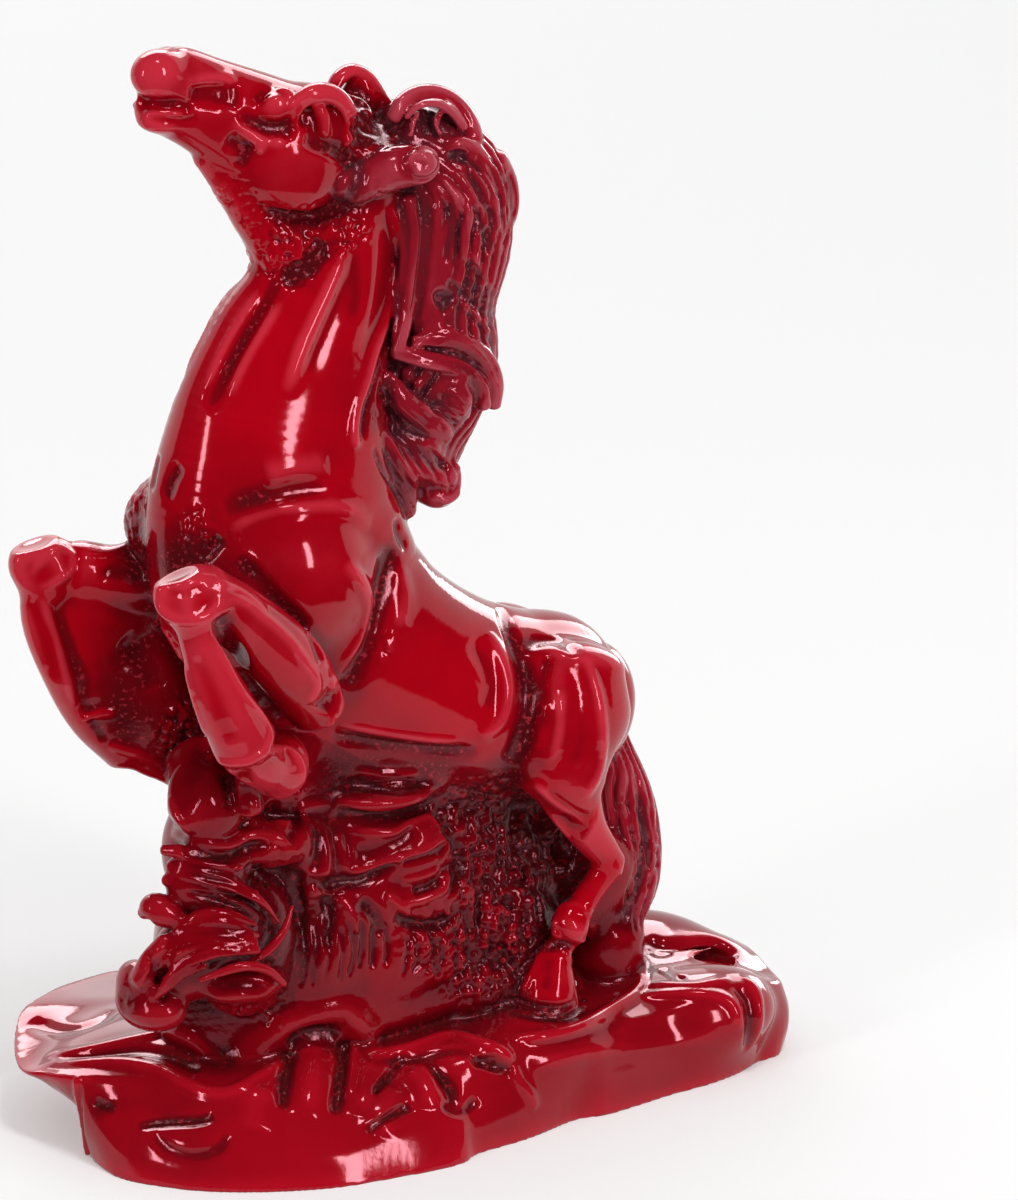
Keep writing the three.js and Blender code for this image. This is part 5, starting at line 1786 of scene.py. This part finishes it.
@dataclass
class Mane(Part):
    """Mane in rolls and locks down the back of the neck."""

    pieces: Sequence[Piece] = (Piece.MANE,)
    slot: str = "hair_resin"
    sides: Sides = Sides.BOTH
    mass: Limb = Limb(((-1.5, 0, 103.6, .66, .52), (2.8, 0, 98.6, 1, .88), (4.2, 0, 92, 1, .9),
        (3, 0, 85.5, .9, .78), (2.2, 0, 79, .86, .94), (0, 0, 73.2, .78, .88), (-1.4, 0, 67.6, .62, .72)),
        6, 7.5, strands=26, groove=.9)
    top_curl: Lump = Lump((1.4, -.2, 102), (3.9, 4.5, 3.5))
    near_locks: Sequence[Limb] = (
        seen_limb((393, 118, -3, .9), (401, 104, -3, 1), (417, 95, -2.6, 1.15), (437, 96, -2.6, 1.2),
            (455, 107, -2.6, 1.2), (467, 123, -3, 1.1), (473, 140, -3.4, 1)),
        seen_limb((407, 118, -4, .5), (415, 107, -4.2, .6), (429, 102, -4.2, .65), (444, 105, -4.2, .65),
            (455, 114, -4.2, .6), (463, 127, -4.2, .5)),
        seen_limb((440, 112, -3.8, .4), (437, 122, -4.2, .5), (440, 134, -4.6, .4)),
        seen_limb((418, 112, -3.8, .4), (412, 124, -4.2, .5), (410, 136, -4.6, .4)),
        seen_limb((340, 184, -3.4, 2.2), (366, 177, -4, 2.3), (392, 168, -4.6, 2.3), (414, 164, -5.2, 2.1)),
        seen_limb((448, 150, -4.6, .7), (458, 144, -4.6, .8), (472, 150, -4.2, .9), (486, 171, -3.6, 1)),
        seen_limb((494, 160, -1.8, 1.3), (501, 185, -1, 1.7), (501, 210, -1, 1.8), (495, 235, -1.5, 1.4)))
    locks: Sequence[Limb] = (
        seen_limb((453, 192, -3.8, 1), (459, 215, -3.9, 1.2), (458, 250, -4, 1.2), (452, 290, -4, 1.1),
            (436, 322, -4.2, .9)),
        seen_limb((407, 200, -3.8, .9), (409, 240, -4, 1.1), (407, 280, -4.1, 1.1), (403, 320, -4.1, 1),
            (397, 348, -4.1, .8)),
        seen_limb((415, 342, -4.6, .7), (440, 338, -5, .9), (465, 345, -4.8, 1), (485, 361, -4.2, 1),
            (494, 385, -3.4, 1), (494, 405, -3, .8)),
        seen_limb((395, 352, -4.2, .7), (430, 360, -5, .9), (462, 368, -4.8, .9), (478, 384, -4.4, .9),
            (484, 405, -4, .8)),
        seen_limb((372, 428, -4.2, 1), (385, 448, -4.4, 1.3), (402, 466, -4.2, 1.5), (425, 476, -3.8, 1.5),
            (443, 480, -3.4, 1.3), (453, 470, -3.2, 1)),
        seen_limb((384, 378, -4.2, .9), (402, 400, -4.8, 1.3), (425, 420, -4.6, 1.3), (446, 436, -4, .9)),
        seen_limb((390, 455, -3.4, 1.6), (401, 488, -3, 1.7), (406, 511, -2.6, 1.1)))
    lobes: Sequence[Lump] = (
        seen_lump(450, 395, -3.8, (2.6, 2, 3)), seen_lump(438, 484, -2.6, (2.6, 2.4, 2.6)),
        seen_lump(415, 437, -3, (3.4, 2.2, 4.4)), seen_lump(430, 260, -3.2, (3.2, 2.2, 9)))
    cut_end: Lump = seen_lump(421, 164, -6.4, (2.2, 1.2, 2))
    dimple: Lump = seen_lump(421, 164, -8.5, (1.6, 1.3, 1.45))
    combs: Sequence[Comb] = (
        Comb(((396, 107), (408, 94), (426, 88), (446, 92), (463, 106), (474, 126)),
            ((406, 116), (417, 105), (430, 100), (446, 104), (456, 113), (464, 126)), 3, .5, .24, .5),
        Comb(((412, 112), (405, 125), (404, 138)), ((444, 112), (447, 125), (450, 138)), 5, .8, .26, 1),
        Comb(((398, 195), (402, 240), (400, 285), (394, 325), (388, 350)),
            ((428, 192), (434, 222), (432, 262), (426, 300), (414, 334)), 4, .7, .26),
        Comb(((425, 180), (440, 205), (446, 235), (446, 262)),
            ((458, 190), (466, 212), (466, 245), (458, 275)), 3, .5, .26, 1.6),
        Comb(((450, 165), (462, 185), (474, 208), (480, 232), (483, 258)),
            ((490, 152), (506, 172), (515, 200), (512, 225), (502, 248)), 7, .9, .27),
        Comb(((468, 250), (484, 270), (496, 296), (502, 322)),
            ((436, 296), (455, 306), (475, 322), (491, 345), (501, 372)), 7, .8, .26),
        Comb(((418, 333), (440, 330), (468, 338), (488, 350), (502, 380)),
            ((392, 356), (428, 364), (458, 372), (476, 388), (482, 410)), 6, .8, .26),
        Comb(((398, 372), (415, 388), (434, 404), (452, 424)),
            ((380, 402), (390, 420), (404, 434), (424, 442)), 7, .7, .24, .8),
        Comb(((364, 436), (374, 468), (390, 495), (404, 515)),
            ((434, 440), (456, 458), (466, 478), (454, 500)), 8, .6, .26),
        Comb(((440, 385), (462, 388), (474, 402)), ((425, 405), (440, 420), (462, 430)), 5, .5, .25),
        Comb(((500, 175), (507, 200), (505, 225)), ((514, 170), (518, 200), (514, 225)), 3, .6, .25),
        Comb(((355, 95), (368, 108), (382, 120)), ((350, 118), (362, 132), (378, 140)), 5, .7, .26))
    # Spots of painted shade.
    shade_spots: Sequence[Row] = (
        (375, 135, 2.6, .5), (432, 122, 2.4, .5), (455, 155, 1.6, .5), (470, 200, 3, .35),
        (480, 240, 3, .4), (450, 305, 2.4, .5), (485, 345, 2.4, .4), (400, 385, 3, .5), (408, 425, 3, .5),
        (372, 415, 2, .6), (382, 470, 2.6, .35), (445, 400, 2.2, .4), (430, 470, 2.2, .25),
        (404, 210, 2, .4), (398, 300, 2, .4), (420, 165, 1.8, .3), (472, 290, 2.4, .4), (455, 430, 2, .3))
    creases: Sequence[Stroke] = (
        score(.45, .45, 402, 200, 405, 245, 400, 285, 392, 325, 382, 358, 372, 390, 365, 410, 362, 440,
            fade=.1),
        score(.45, .4, 402, 160, 409, 150, 422, 147, 435, 151, 441, 162, 435, 175, 420, 180, 407, 173, 402,
            160, fade=.01), score(-.4, .5, 455, 190, 466, 207, 465, 242, 459, 268),
        score(.9, .5, 448, 158, 456, 155, 466, 162), score(1.2, .9, 435, 303, 443, 300, 452, 305),
        score(-.35, .45, 418, 335, 440, 330, 465, 340, 480, 352, 492, 372),
        score(-.5, .4, 397, 365, 405, 372, 415, 382, 421, 388),
        score(-.5, .4, 420, 405, 440, 418, 452, 435),
        score(-.4, .45, 425, 440, 445, 455, 460, 470, 463, 482, 455, 497, 440, 503),
        score(.7, .5, 418, 480, 435, 490, 450, 492, 462, 485), score(.6, .5, 470, 380, 478, 395, 474, 412),
        score(.8, .7, 392, 362, 390, 385, 384, 400), score(-.5, .3, 432, 180, 442, 192, 453, 205),
        score(-.5, .3, 440, 176, 458, 200, 466, 216),
        score(-.5, .3, 455, 170, 472, 196, 486, 222, 493, 245),
        score(-.5, .3, 470, 165, 487, 190, 497, 216, 500, 240),
        score(-.5, .3, 466, 245, 480, 268, 490, 292), score(-.5, .3, 452, 300, 478, 316, 494, 338))
    patches: Sequence[Row] = (
        (420, 165, 2.2, .25, .7), (400, 370, 2, .35, .7), (490, 235, 2.5, .3, .8), (475, 250, 2.2, .35, .8),
        (372, 410, 1.8, .3, .7), (365, 140, 2.5, .4, .8))

    def shape(self, field_: Field) -> None:
        """Join the mane's mass and its locks.

        Args:
            field_: The field that takes them.
        """
        field_.add([self.mass, self.top_curl], Piece.MANE, 0.8)
        field_.add([*self.near_locks, *both(*self.locks)], Piece.MANE, 0.35)
        field_.add(both(*self.lobes), Piece.MANE, 0.8)
        field_.add([self.cut_end], Piece.MANE, 0.4)
        field_.cut([self.dimple], 0.4)


@dataclass
class Foreleg(Part):
    """Folded foreleg, from its limbs, its lumps and the balls that plane its knee."""

    slot: str = "body_resin"
    limbs: Sequence[Limb] = ()
    lumps: Sequence[Lump] = ()
    planes: Sequence[Lump] = ()

    def shape(self, field_: Field) -> None:
        """Join the leg's limbs and lumps, and plane the knee.

        Args:
            field_: The field that takes them.
        """
        field_.add(self.limbs, self.pieces[0], 0.8)
        field_.add(self.lumps, self.pieces[0], 1.4)
        field_.cut(self.planes, 0.5)


def planed(middle: Point, *faces: Row) -> tuple[Lump, ...]:
    """Return the balls that plane faces on a joint.

    Args:
        middle: Middle of the joint.
        *faces: Direction of each face and its distance from the middle.

    Returns:
        Balls to cut away.
    """
    ball = 9.0
    return tuple(Lump(tuple(np.array(middle) + unit(np.array(face[:3])) * (face[3] + ball)), (ball,) * 3)
                 for face in faces)


@dataclass
class LeftForeleg(Foreleg):
    """Near foreleg, folded under the chest with its hoof drawn back."""

    pieces: Sequence[Piece] = (Piece.LEFT_FORELEG,)
    limbs: Sequence[Limb] = (
        Limb(((-17, -9.8, 49, 1, .95), (-20.6, -12, 54, 1, 1.12), (-27, -13.2, 60.4, .92, 1),
            (-31.4, -13.9, 63.6, .92, .96)), 3.3, 3.3),
        Limb(((-32.4, -14, 62.6, 1, .95), (-31.2, -14.4, 57.2, .9, .9), (-29.2, -14.4, 52.2, 1.08, 1.12),
            (-27, -13.8, 48, 1.3, 1.36)), 2.5, 2.5),
        Limb(((-26.6, -13.4, 46.6, 1.1, 1.1), (-24, -12.4, 44.4, 1.05, 1.05), (-21.6, -11, 43.4, 1.1, 1.1)),
            2.5, 2.5))
    lumps: Sequence[Lump] = (
        Lump((-33, -14, 64), (3.7, 3, 3.2), 20), Lump((-21.4, -10.8, 43.6), (3, 2.9, 3.4)))
    creases: Sequence[Stroke] = (
        score(1.4, 1, 222, 615, 228, 640, 240, 665, 255, 690, 268, 705, 285, 722),
        score(-.35, .5, 228, 600, 240, 600, 262, 615, 290, 640, 308, 665, 317, 680, 315, 695, 308, 705),
        score(-.5, .4, 208, 755, 225, 763, 250, 762, 265, 752),
        score(-.5, .4, 240, 803, 262, 808, 290, 808, 330, 803),
        score(-.5, .4, 158, 622, 172, 640, 184, 665, 194, 700, 204, 730, 210, 752),
        score(-.5, .35, 215, 632, 226, 660, 242, 690, 262, 715, 271, 735, 266, 752),
        score(.3, 1, 196, 655, 210, 690, 222, 722, 232, 745),
        score(-.35, .45, 152, 600, 165, 615, 190, 622, 212, 612, 222, 598),
        score(.25, .5, 160, 588, 180, 592, 205, 585), score(-.4, .4, 215, 580, 240, 590, 268, 612),
        score(-.4, .4, 258, 765, 268, 752, 285, 748, 300, 760, 304, 780, 296, 798))
    # Spots of painted shade.
    shade_spots: Sequence[Row] = (
        (240, 660, 2.4, .6), (262, 698, 2.4, .5), (232, 622, 1.6, .6), (285, 735, 2, .5),
        (215, 765, 1.6, .4))
    planes: Sequence[Lump] = planed(
        (-33, -14, 64), (-.35, .1, .93, 2.3), (-.72, -.62, .05, 2.7), (-.05, -.95, .1, 2.5))


@dataclass
class RightForeleg(Foreleg):
    """Far foreleg, reaching forward, with a web of resin between it and the chest."""

    pieces: Sequence[Piece] = (Piece.RIGHT_FORELEG,)
    limbs: Sequence[Limb] = (
        Limb(((-21, 6.6, 58.6, .9, 1.1), (-27.6, 8.4, 58.6, .95, .95), (-33, 9.8, 60, .95, .95)), 3.3, 3.3),
        Limb(((-36.2, 10.4, 61, 1, .95), (-36.6, 10.6, 55.4, .95, .95), (-34.2, 10.2, 49.2, 1.05, 1.05),
            (-31.4, 9.6, 44.6, 1.2, 1.2), (-28.4, 8.6, 41.2, 1.25, 1.2)), 2.5, 2.5),
        Limb(((-20, 7, 57, 1, 2.6), (-28.4, 8.8, 53.6, .92, 3.1), (-27, 8, 46, .92, 2.6),
            (-22, 6.4, 41, .92, 2)), 2.6, 2.6))
    lumps: Sequence[Lump] = (
        Lump((-36.6, 10.4, 61), (3.8, 3, 3.3), 20, 3), seen_lump(158, 700, 7.4, (4.6, 3.4, 7.2)))
    creases: Sequence[Stroke] = (
        score(.6, .8, 52, 600, 65, 640, 80, 680, 85, 705, 100, 712),
        score(-.7, .4, 85, 722, 92, 716, 100, 713, 118, 713), score(.6, .4, 88, 718, 95, 725, 104, 742),
        score(-.5, .45, 108, 745, 130, 752, 160, 762),
        score(-.45, .4, 30, 578, 45, 556, 62, 548, 72, 558, 70, 572, 55, 582, 38, 588),
        score(-.5, .4, 42, 596, 58, 640, 68, 680, 76, 708), score(.3, .5, 30, 600, 45, 640, 56, 680),
        score(.5, .8, 98, 575, 120, 572, 145, 580), score(.4, 1.4, 120, 640, 140, 660, 150, 690))
    patches: Sequence[Row] = (
        (180, 722, 3.2, .3, .9), (128, 520, 3, .25, .8), (172, 745, 3, .3, .9))
    # Spots of painted shade, such as behind the far shoulder.
    shade_spots: Sequence[Row] = (
        (130, 690, 6, .4), (150, 722, 5, .4), (110, 735, 4, .5), (130, 525, 4, 1), (145, 555, 3, .8),
        (50, 590, 1.6, .3), (100, 640, 5, .25))
    planes: Sequence[Lump] = planed((-36.6, 10.4, 61), (-.3, .05, .95, 2.4), (-.5, -.82, .1, 2.4))


@dataclass
class HindLegs(Part):
    """Two hind legs, planted at the end of the base."""

    pieces: Sequence[Piece] = (Piece.LEFT_HIND_LEG, Piece.RIGHT_HIND_LEG)
    slot: str = "body_resin"
    sides: Sides = Sides.BOTH
    thigh: Limb = Limb(((15.6, -6.8, 46.8, .8, .58), (14.2, -7.6, 43, 1, .76), (13, -8.1, 39.2, .94, .68),
        (12.6, -8.6, 35.6, .76, .52)), 4.8, 9)
    gaskin: Limb = seen_limb((560, 765, -8.4, 3.9), (570, 795, -8.8, 3.3), (586, 828, -9, 2.4),
        (602, 850, -9, 1.9), (612, 862, -9, 1.55))
    cannon: Limb = seen_limb((608, 866, -9, 1.7), (594, 886, -8.9, 1.4), (582, 904, -8.8, 1.4),
        (570, 926, -8.6, 1.6), (560, 946, -8.5, 1.4))
    fetlock: Lump = seen_lump(571, 924, -9, (1.9, 1.9, 2.2), flats=3)
    hoof: Limb = seen_limb((557, 948, -8.5, 1.3), (552, 965, -8.4, 2.2), (548, 985, -8.4, 3),
        (546, 1002, -8.4, 3.4))
    creases: Sequence[Stroke] = (
        score(-.5, .6, 558, 690, 559, 715, 557, 740, 548, 768),
        score(-.45, .55, 585, 655, 597, 690, 603, 730, 600, 770, 585, 800),
        score(.35, 1.1, 572, 665, 580, 700, 582, 740, 572, 780),
        score(-.5, .45, 532, 780, 550, 798, 572, 814, 592, 826),
        score(.3, .5, 545, 790, 565, 806, 590, 818),
        score(-.35, .4, 556, 912, 563, 905, 578, 905, 590, 915, 590, 932, 582, 942),
        score(-.35, .4, 556, 918, 554, 932, 562, 942), score(.9, .4, 545, 948, 562, 944, 578, 950),
        score(-.4, .35, 540, 952, 532, 972, 520, 995), score(-.4, .35, 566, 952, 574, 970, 580, 990),
        score(.3, .7, 552, 955, 549, 975, 545, 992),
        score(.9, .35, 514, 1000, 540, 1008, 565, 1008, 582, 998),
        score(.5, .4, 508, 1012, 540, 1018, 570, 1016, 590, 1006))
    # Spots of painted shade.
    shade_spots: Sequence[Row] = (
        (545, 715, 1.6, .6), (540, 760, 2, .5), (560, 835, 2.6, .5), (575, 880, 1.8, .5),
        (548, 1008, 1.6, .5), (560, 948, 1, .5), (590, 905, 1.4, .4))

    def shape(self, field_: Field) -> None:
        """Join both legs.

        Args:
            field_: The field that takes them.
        """
        for blend, limb in ((1.5, self.thigh), (1.4, self.gaskin), (0.8, self.cannon), (0.5, self.fetlock),
                            (0.5, self.hoof)):
            field_.add([limb], Piece.LEFT_HIND_LEG, blend)
            field_.add([limb.mirrored()], Piece.RIGHT_HIND_LEG, blend)


@dataclass
class Tail(Part):
    """Heavy tail that hangs to the base."""

    pieces: Sequence[Piece] = (Piece.TAIL,)
    slot: str = "hair_resin"
    sides: Sides = Sides.BOTH
    mass: Limb = Limb(((20.4, 0, 40.4, .6, .56), (22, 0, 34.5, .8, .76), (23.8, 0, 27.5, .96, .94),
        (24.4, 0, 20.5, 1, .88), (22.6, 0, 14.5, .95, .72), (22.2, 0, 10.6, 1.05, .8)), 5, 4.8, strands=18,
        groove=.8)
    creases: Sequence[Stroke] = (
        score(.7, .5, 634, 770, 640, 800, 645, 840, 640, 880, 625, 920),
        score(-.4, .5, 622, 800, 632, 830, 636, 860, 630, 900),
        score(-.35, .5, 648, 800, 655, 835, 652, 870, 642, 905),
        score(.5, .4, 655, 815, 660, 845, 655, 880),
        score(-.4, .5, 640, 950, 643, 965, 642, 980, 635, 990, 600, 1012, 580, 1025))
    combs: Sequence[Comb] = (
        Comb(((612, 800), (628, 830), (634, 860), (622, 900)),
            ((640, 770), (658, 820), (658, 870), (640, 915)), 5, .55, .28),)
    # Spots of painted shade.
    shade_spots: Sequence[Row] = (
        (620, 870, 3, .5), (648, 820, 3, .3), (625, 920, 3, .5))

    def shape(self, field_: Field) -> None:
        """Join the tail."""
        field_.add([self.mass], Piece.TAIL, 0.8)


@dataclass(frozen=True)
class Softbox:
    """Flat lamp: where it hangs as seen from the figure, its width and height and its brightness."""

    name: str
    azimuth: float
    elevation: float
    size: tuple[float, float]
    bright: float
    away: float = 0.9
    lights: bool = True
    aim_height: float = 0.055

    def hang(self) -> None:
        """Hang the lamp, aimed at the middle of the figure."""
        right, up, back = directions(self.azimuth, self.elevation)
        data = bpy.data.lights.new(self.name, "AREA")
        data.shape = "RECTANGLE"
        data.size, data.size_y = self.size
        data.energy = self.bright * math.pi * self.size[0] * self.size[1]
        lamp = add_object(self.name, data)
        lamp.visible_diffuse = self.lights
        lamp.matrix_world = stand((right, up, back), back * self.away + (0, 0, self.aim_height))


def matt(name: str, level: float, roughness: float) -> tuple[bpy.types.Material, bpy.types.Node]:
    """Make a grey material without gloss.

    Args:
        name: Name of the material.
        level: Its grey, from 0 to 1.
        roughness: Roughness of the surface.

    Returns:
        The material and its shader.
    """
    material = bpy.data.materials.new(name)
    material.use_nodes = True
    shader = material.node_tree.nodes["Principled BSDF"]
    shader.inputs["Base Color"].default_value = (level, level, level, 1.0)
    shader.inputs["Roughness"].default_value = roughness
    shader.inputs["Specular IOR Level"].default_value = 0.0
    return material, shader


@dataclass
class Studio:
    """Pale floor in a white tent, softboxes, and a dark flag round the camera.

    The flag is seen only in reflections. It keeps the flat faces of the gloss deep in colour, and
    the tent's white then shows as bands along their edges.
    """

    floor_size: float = 1.9
    floor_colour: float = 0.8
    floor_lift: float = 0.2
    fill: float = 0.62
    softboxes: Sequence[Softbox] = (
        Softbox("right_softbox", 12, 20, (0.11, 0.44), 20),
        Softbox("left_softbox", -72, 16, (0.08, 0.34), 18),
        Softbox("top_softbox", 0, 68, (0.14, 0.14), 24),
        Softbox("back_softbox", 172, 22, (0.8, 0.3), 1.5),
        Softbox("rim_softbox", 164, 46, (0.75, 0.4), 11, lights=False),
        Softbox("side_softbox", 122, 24, (0.3, 0.8), 6, lights=False))
    flag_hole: float = 9.0
    flag_reach: float = 96.0
    flag_radius: float = 1.15
    flag_rings: int = 6
    flag_spokes: int = 24
    apron_start: float = 0.09
    apron_lift: float = 0.0005
    apron_steps: int = 16
    apron_turn: float = 84.0
    felt_colour: float = 0.004

    def build(self) -> None:
        """Build the floor, the room and the lamps."""
        self.lay_floor()
        self.light_room()
        self.hang_flag()
        for softbox in self.softboxes:
            softbox.hang()

    def lay_floor(self) -> None:
        """Lay the floor, white to the camera and in reflections, with the figure's shadow on it."""
        half = self.floor_size / 2
        mesh = bpy.data.meshes.new("floor")
        corners = [(-half, -half, 0), (half, -half, 0), (half, half, 0), (-half, half, 0)]
        mesh.from_pydata(corners, [], [(0, 1, 2, 3)])
        add_object("floor", mesh)
        paper, shader = matt("pale_floor", self.floor_colour, 0.9)
        nodes = Nodes(paper.node_tree)
        shader.inputs["Emission Color"].default_value = (1, 1, 1, 1)
        nodes.join(nodes.math("MULTIPLY", nodes.seen(), self.floor_lift), shader.inputs["Emission Strength"])
        mesh.materials.append(paper)

    def light_room(self) -> None:
        """Light the tent evenly, white to the camera and in reflections."""
        world = bpy.data.worlds.new("tent")
        bpy.context.scene.world = world
        world.use_nodes = True
        nodes = Nodes(world.node_tree)
        sky = world.node_tree.nodes["Background"]
        nodes.join(nodes.spread(nodes.seen(), 0.0, 1.0, self.fill, 1.0), sky.inputs["Strength"])
        sky.inputs["Color"].default_value = (1, 1, 1, 1)

    def hang_flag(self) -> None:
        """Hang the dark flag as part of a ball round the figure, with an apron on the floor."""
        right, up, back = VIEW.axes()
        ball, spokes = self.flag_radius, self.flag_spokes
        points = [back * ball]
        faces = []
        for ring, reach in enumerate(np.linspace(self.flag_hole, self.flag_reach, self.flag_rings)):
            tilt = math.radians(reach)
            inner, outer = 1 + (ring - 1) * spokes, 1 + ring * spokes
            for k in range(spokes):
                turn = k * 2 * math.pi / spokes
                side = right * math.cos(turn) + up * math.sin(turn)
                points.append((back * math.cos(tilt) + side * math.sin(tilt)) * ball)
                after = (k + 1) % spokes
                faces.append((inner + k, outer + k, outer + after, inner + after) if ring else
                             (0, outer + k, outer + after))
        apron = len(points)
        ahead = unit(np.array([back[0], back[1], 0.0]))
        lift = (0, 0, self.apron_lift)
        for k, reach in enumerate(np.linspace(-self.apron_turn, self.apron_turn, self.apron_steps + 1)):
            turn = math.radians(reach)
            way = ahead * math.cos(turn) + right * math.sin(turn)
            points += [way * self.apron_start + lift, way * ball + lift]
            if k:
                last = apron + 2 * k
                faces.append((last - 2, last, last + 1, last - 1))
        mesh = bpy.data.meshes.new("flag")
        mesh.from_pydata([tuple(point) for point in points], [], faces)
        flag = add_object("flag", mesh)
        flag.visible_camera = flag.visible_diffuse = flag.visible_shadow = False
        flag.visible_transmission = flag.visible_volume_scatter = False
        mesh.materials.append(matt("black_felt", self.felt_colour, 1.0)[0])


def build_finishes() -> dict[str, bpy.types.Material]:
    """Build the finishes.

    Returns:
        Their materials by name; the slots bear the same names.
    """
    groups = {"hollow_and_edge_shading": build_hollow_and_edge_shading(), "cast_surface": build_cast_surface()}
    # Colours: own red, darker red for mottle and painted shade, darkest painted shade with the dark wash,
    # pale painted highlight.
    finishes = (
        ResinFinish("body_resin", (0.36, 0.0006, 0.0065), (0.19, 0.001, 0.005), (0.075, 0.002, 0.004),
                    (0.56, 0.032, 0.055), groups=groups),
        ResinFinish("hair_resin", (0.28, 0.006, 0.016), (0.14, 0.006, 0.012), (0.06, 0.010, 0.015),
                    (0.43, 0.06, 0.085), groups=groups, mottle=0.5, waves=1.0, grit=0.3),
        ResinFinish("rock_resin", (0.21, 0.001, 0.005), (0.11, 0.001, 0.004), (0.042, 0.002, 0.003),
                    (0.34, 0.006, 0.014), groups=groups, mottle=0.6, waves=1.2, grit=0.4, shine=0.45),
        ResinFinish("base_resin", (0.30, 0.002, 0.008), (0.17, 0.002, 0.006), (0.06, 0.003, 0.004),
                    (0.42, 0.005, 0.015), groups=groups, mottle=0.4))
    return {finish.name: finish.material() for finish in finishes}


def main() -> None:
    """Carve the figure, cast its pieces, dress them and light the scene."""
    logging.basicConfig(level=logging.INFO, format="%(name)s: %(message)s")
    bpy.context.scene.view_settings.view_transform = "Standard"
    VIEW.add_camera()
    solid = Field(GRID_LOW, GRID_HIGH, GRID_STEP * (1))
    body = Body()
    parts = [Base(), RockPillar(), GrassTuft(), body, Mane(), LeftForeleg(), RightForeleg(), HindLegs(),
             Tail()]
    for part in parts:
        part.shape(solid)
        LOG.info("%s shaped", type(part).__name__)
    body.part_neck(solid)
    swell(solid, height=0.25, length=14.0)
    for part in parts:
        part.carve(solid)
    solid.value = np.maximum(solid.value, -solid.axes[2][None, None, :].astype(np.float32))
    mesher = Mesher(solid)
    # Painted shade round the listed pixels.
    mesher.paint_shade([shade_spot for part in parts for shade_spot in part.shade_spots])
    finishes = build_finishes()
    for part in parts:
        part.cast(mesher, finishes)
    Studio().build()


if __name__ == "__main__":
    main()
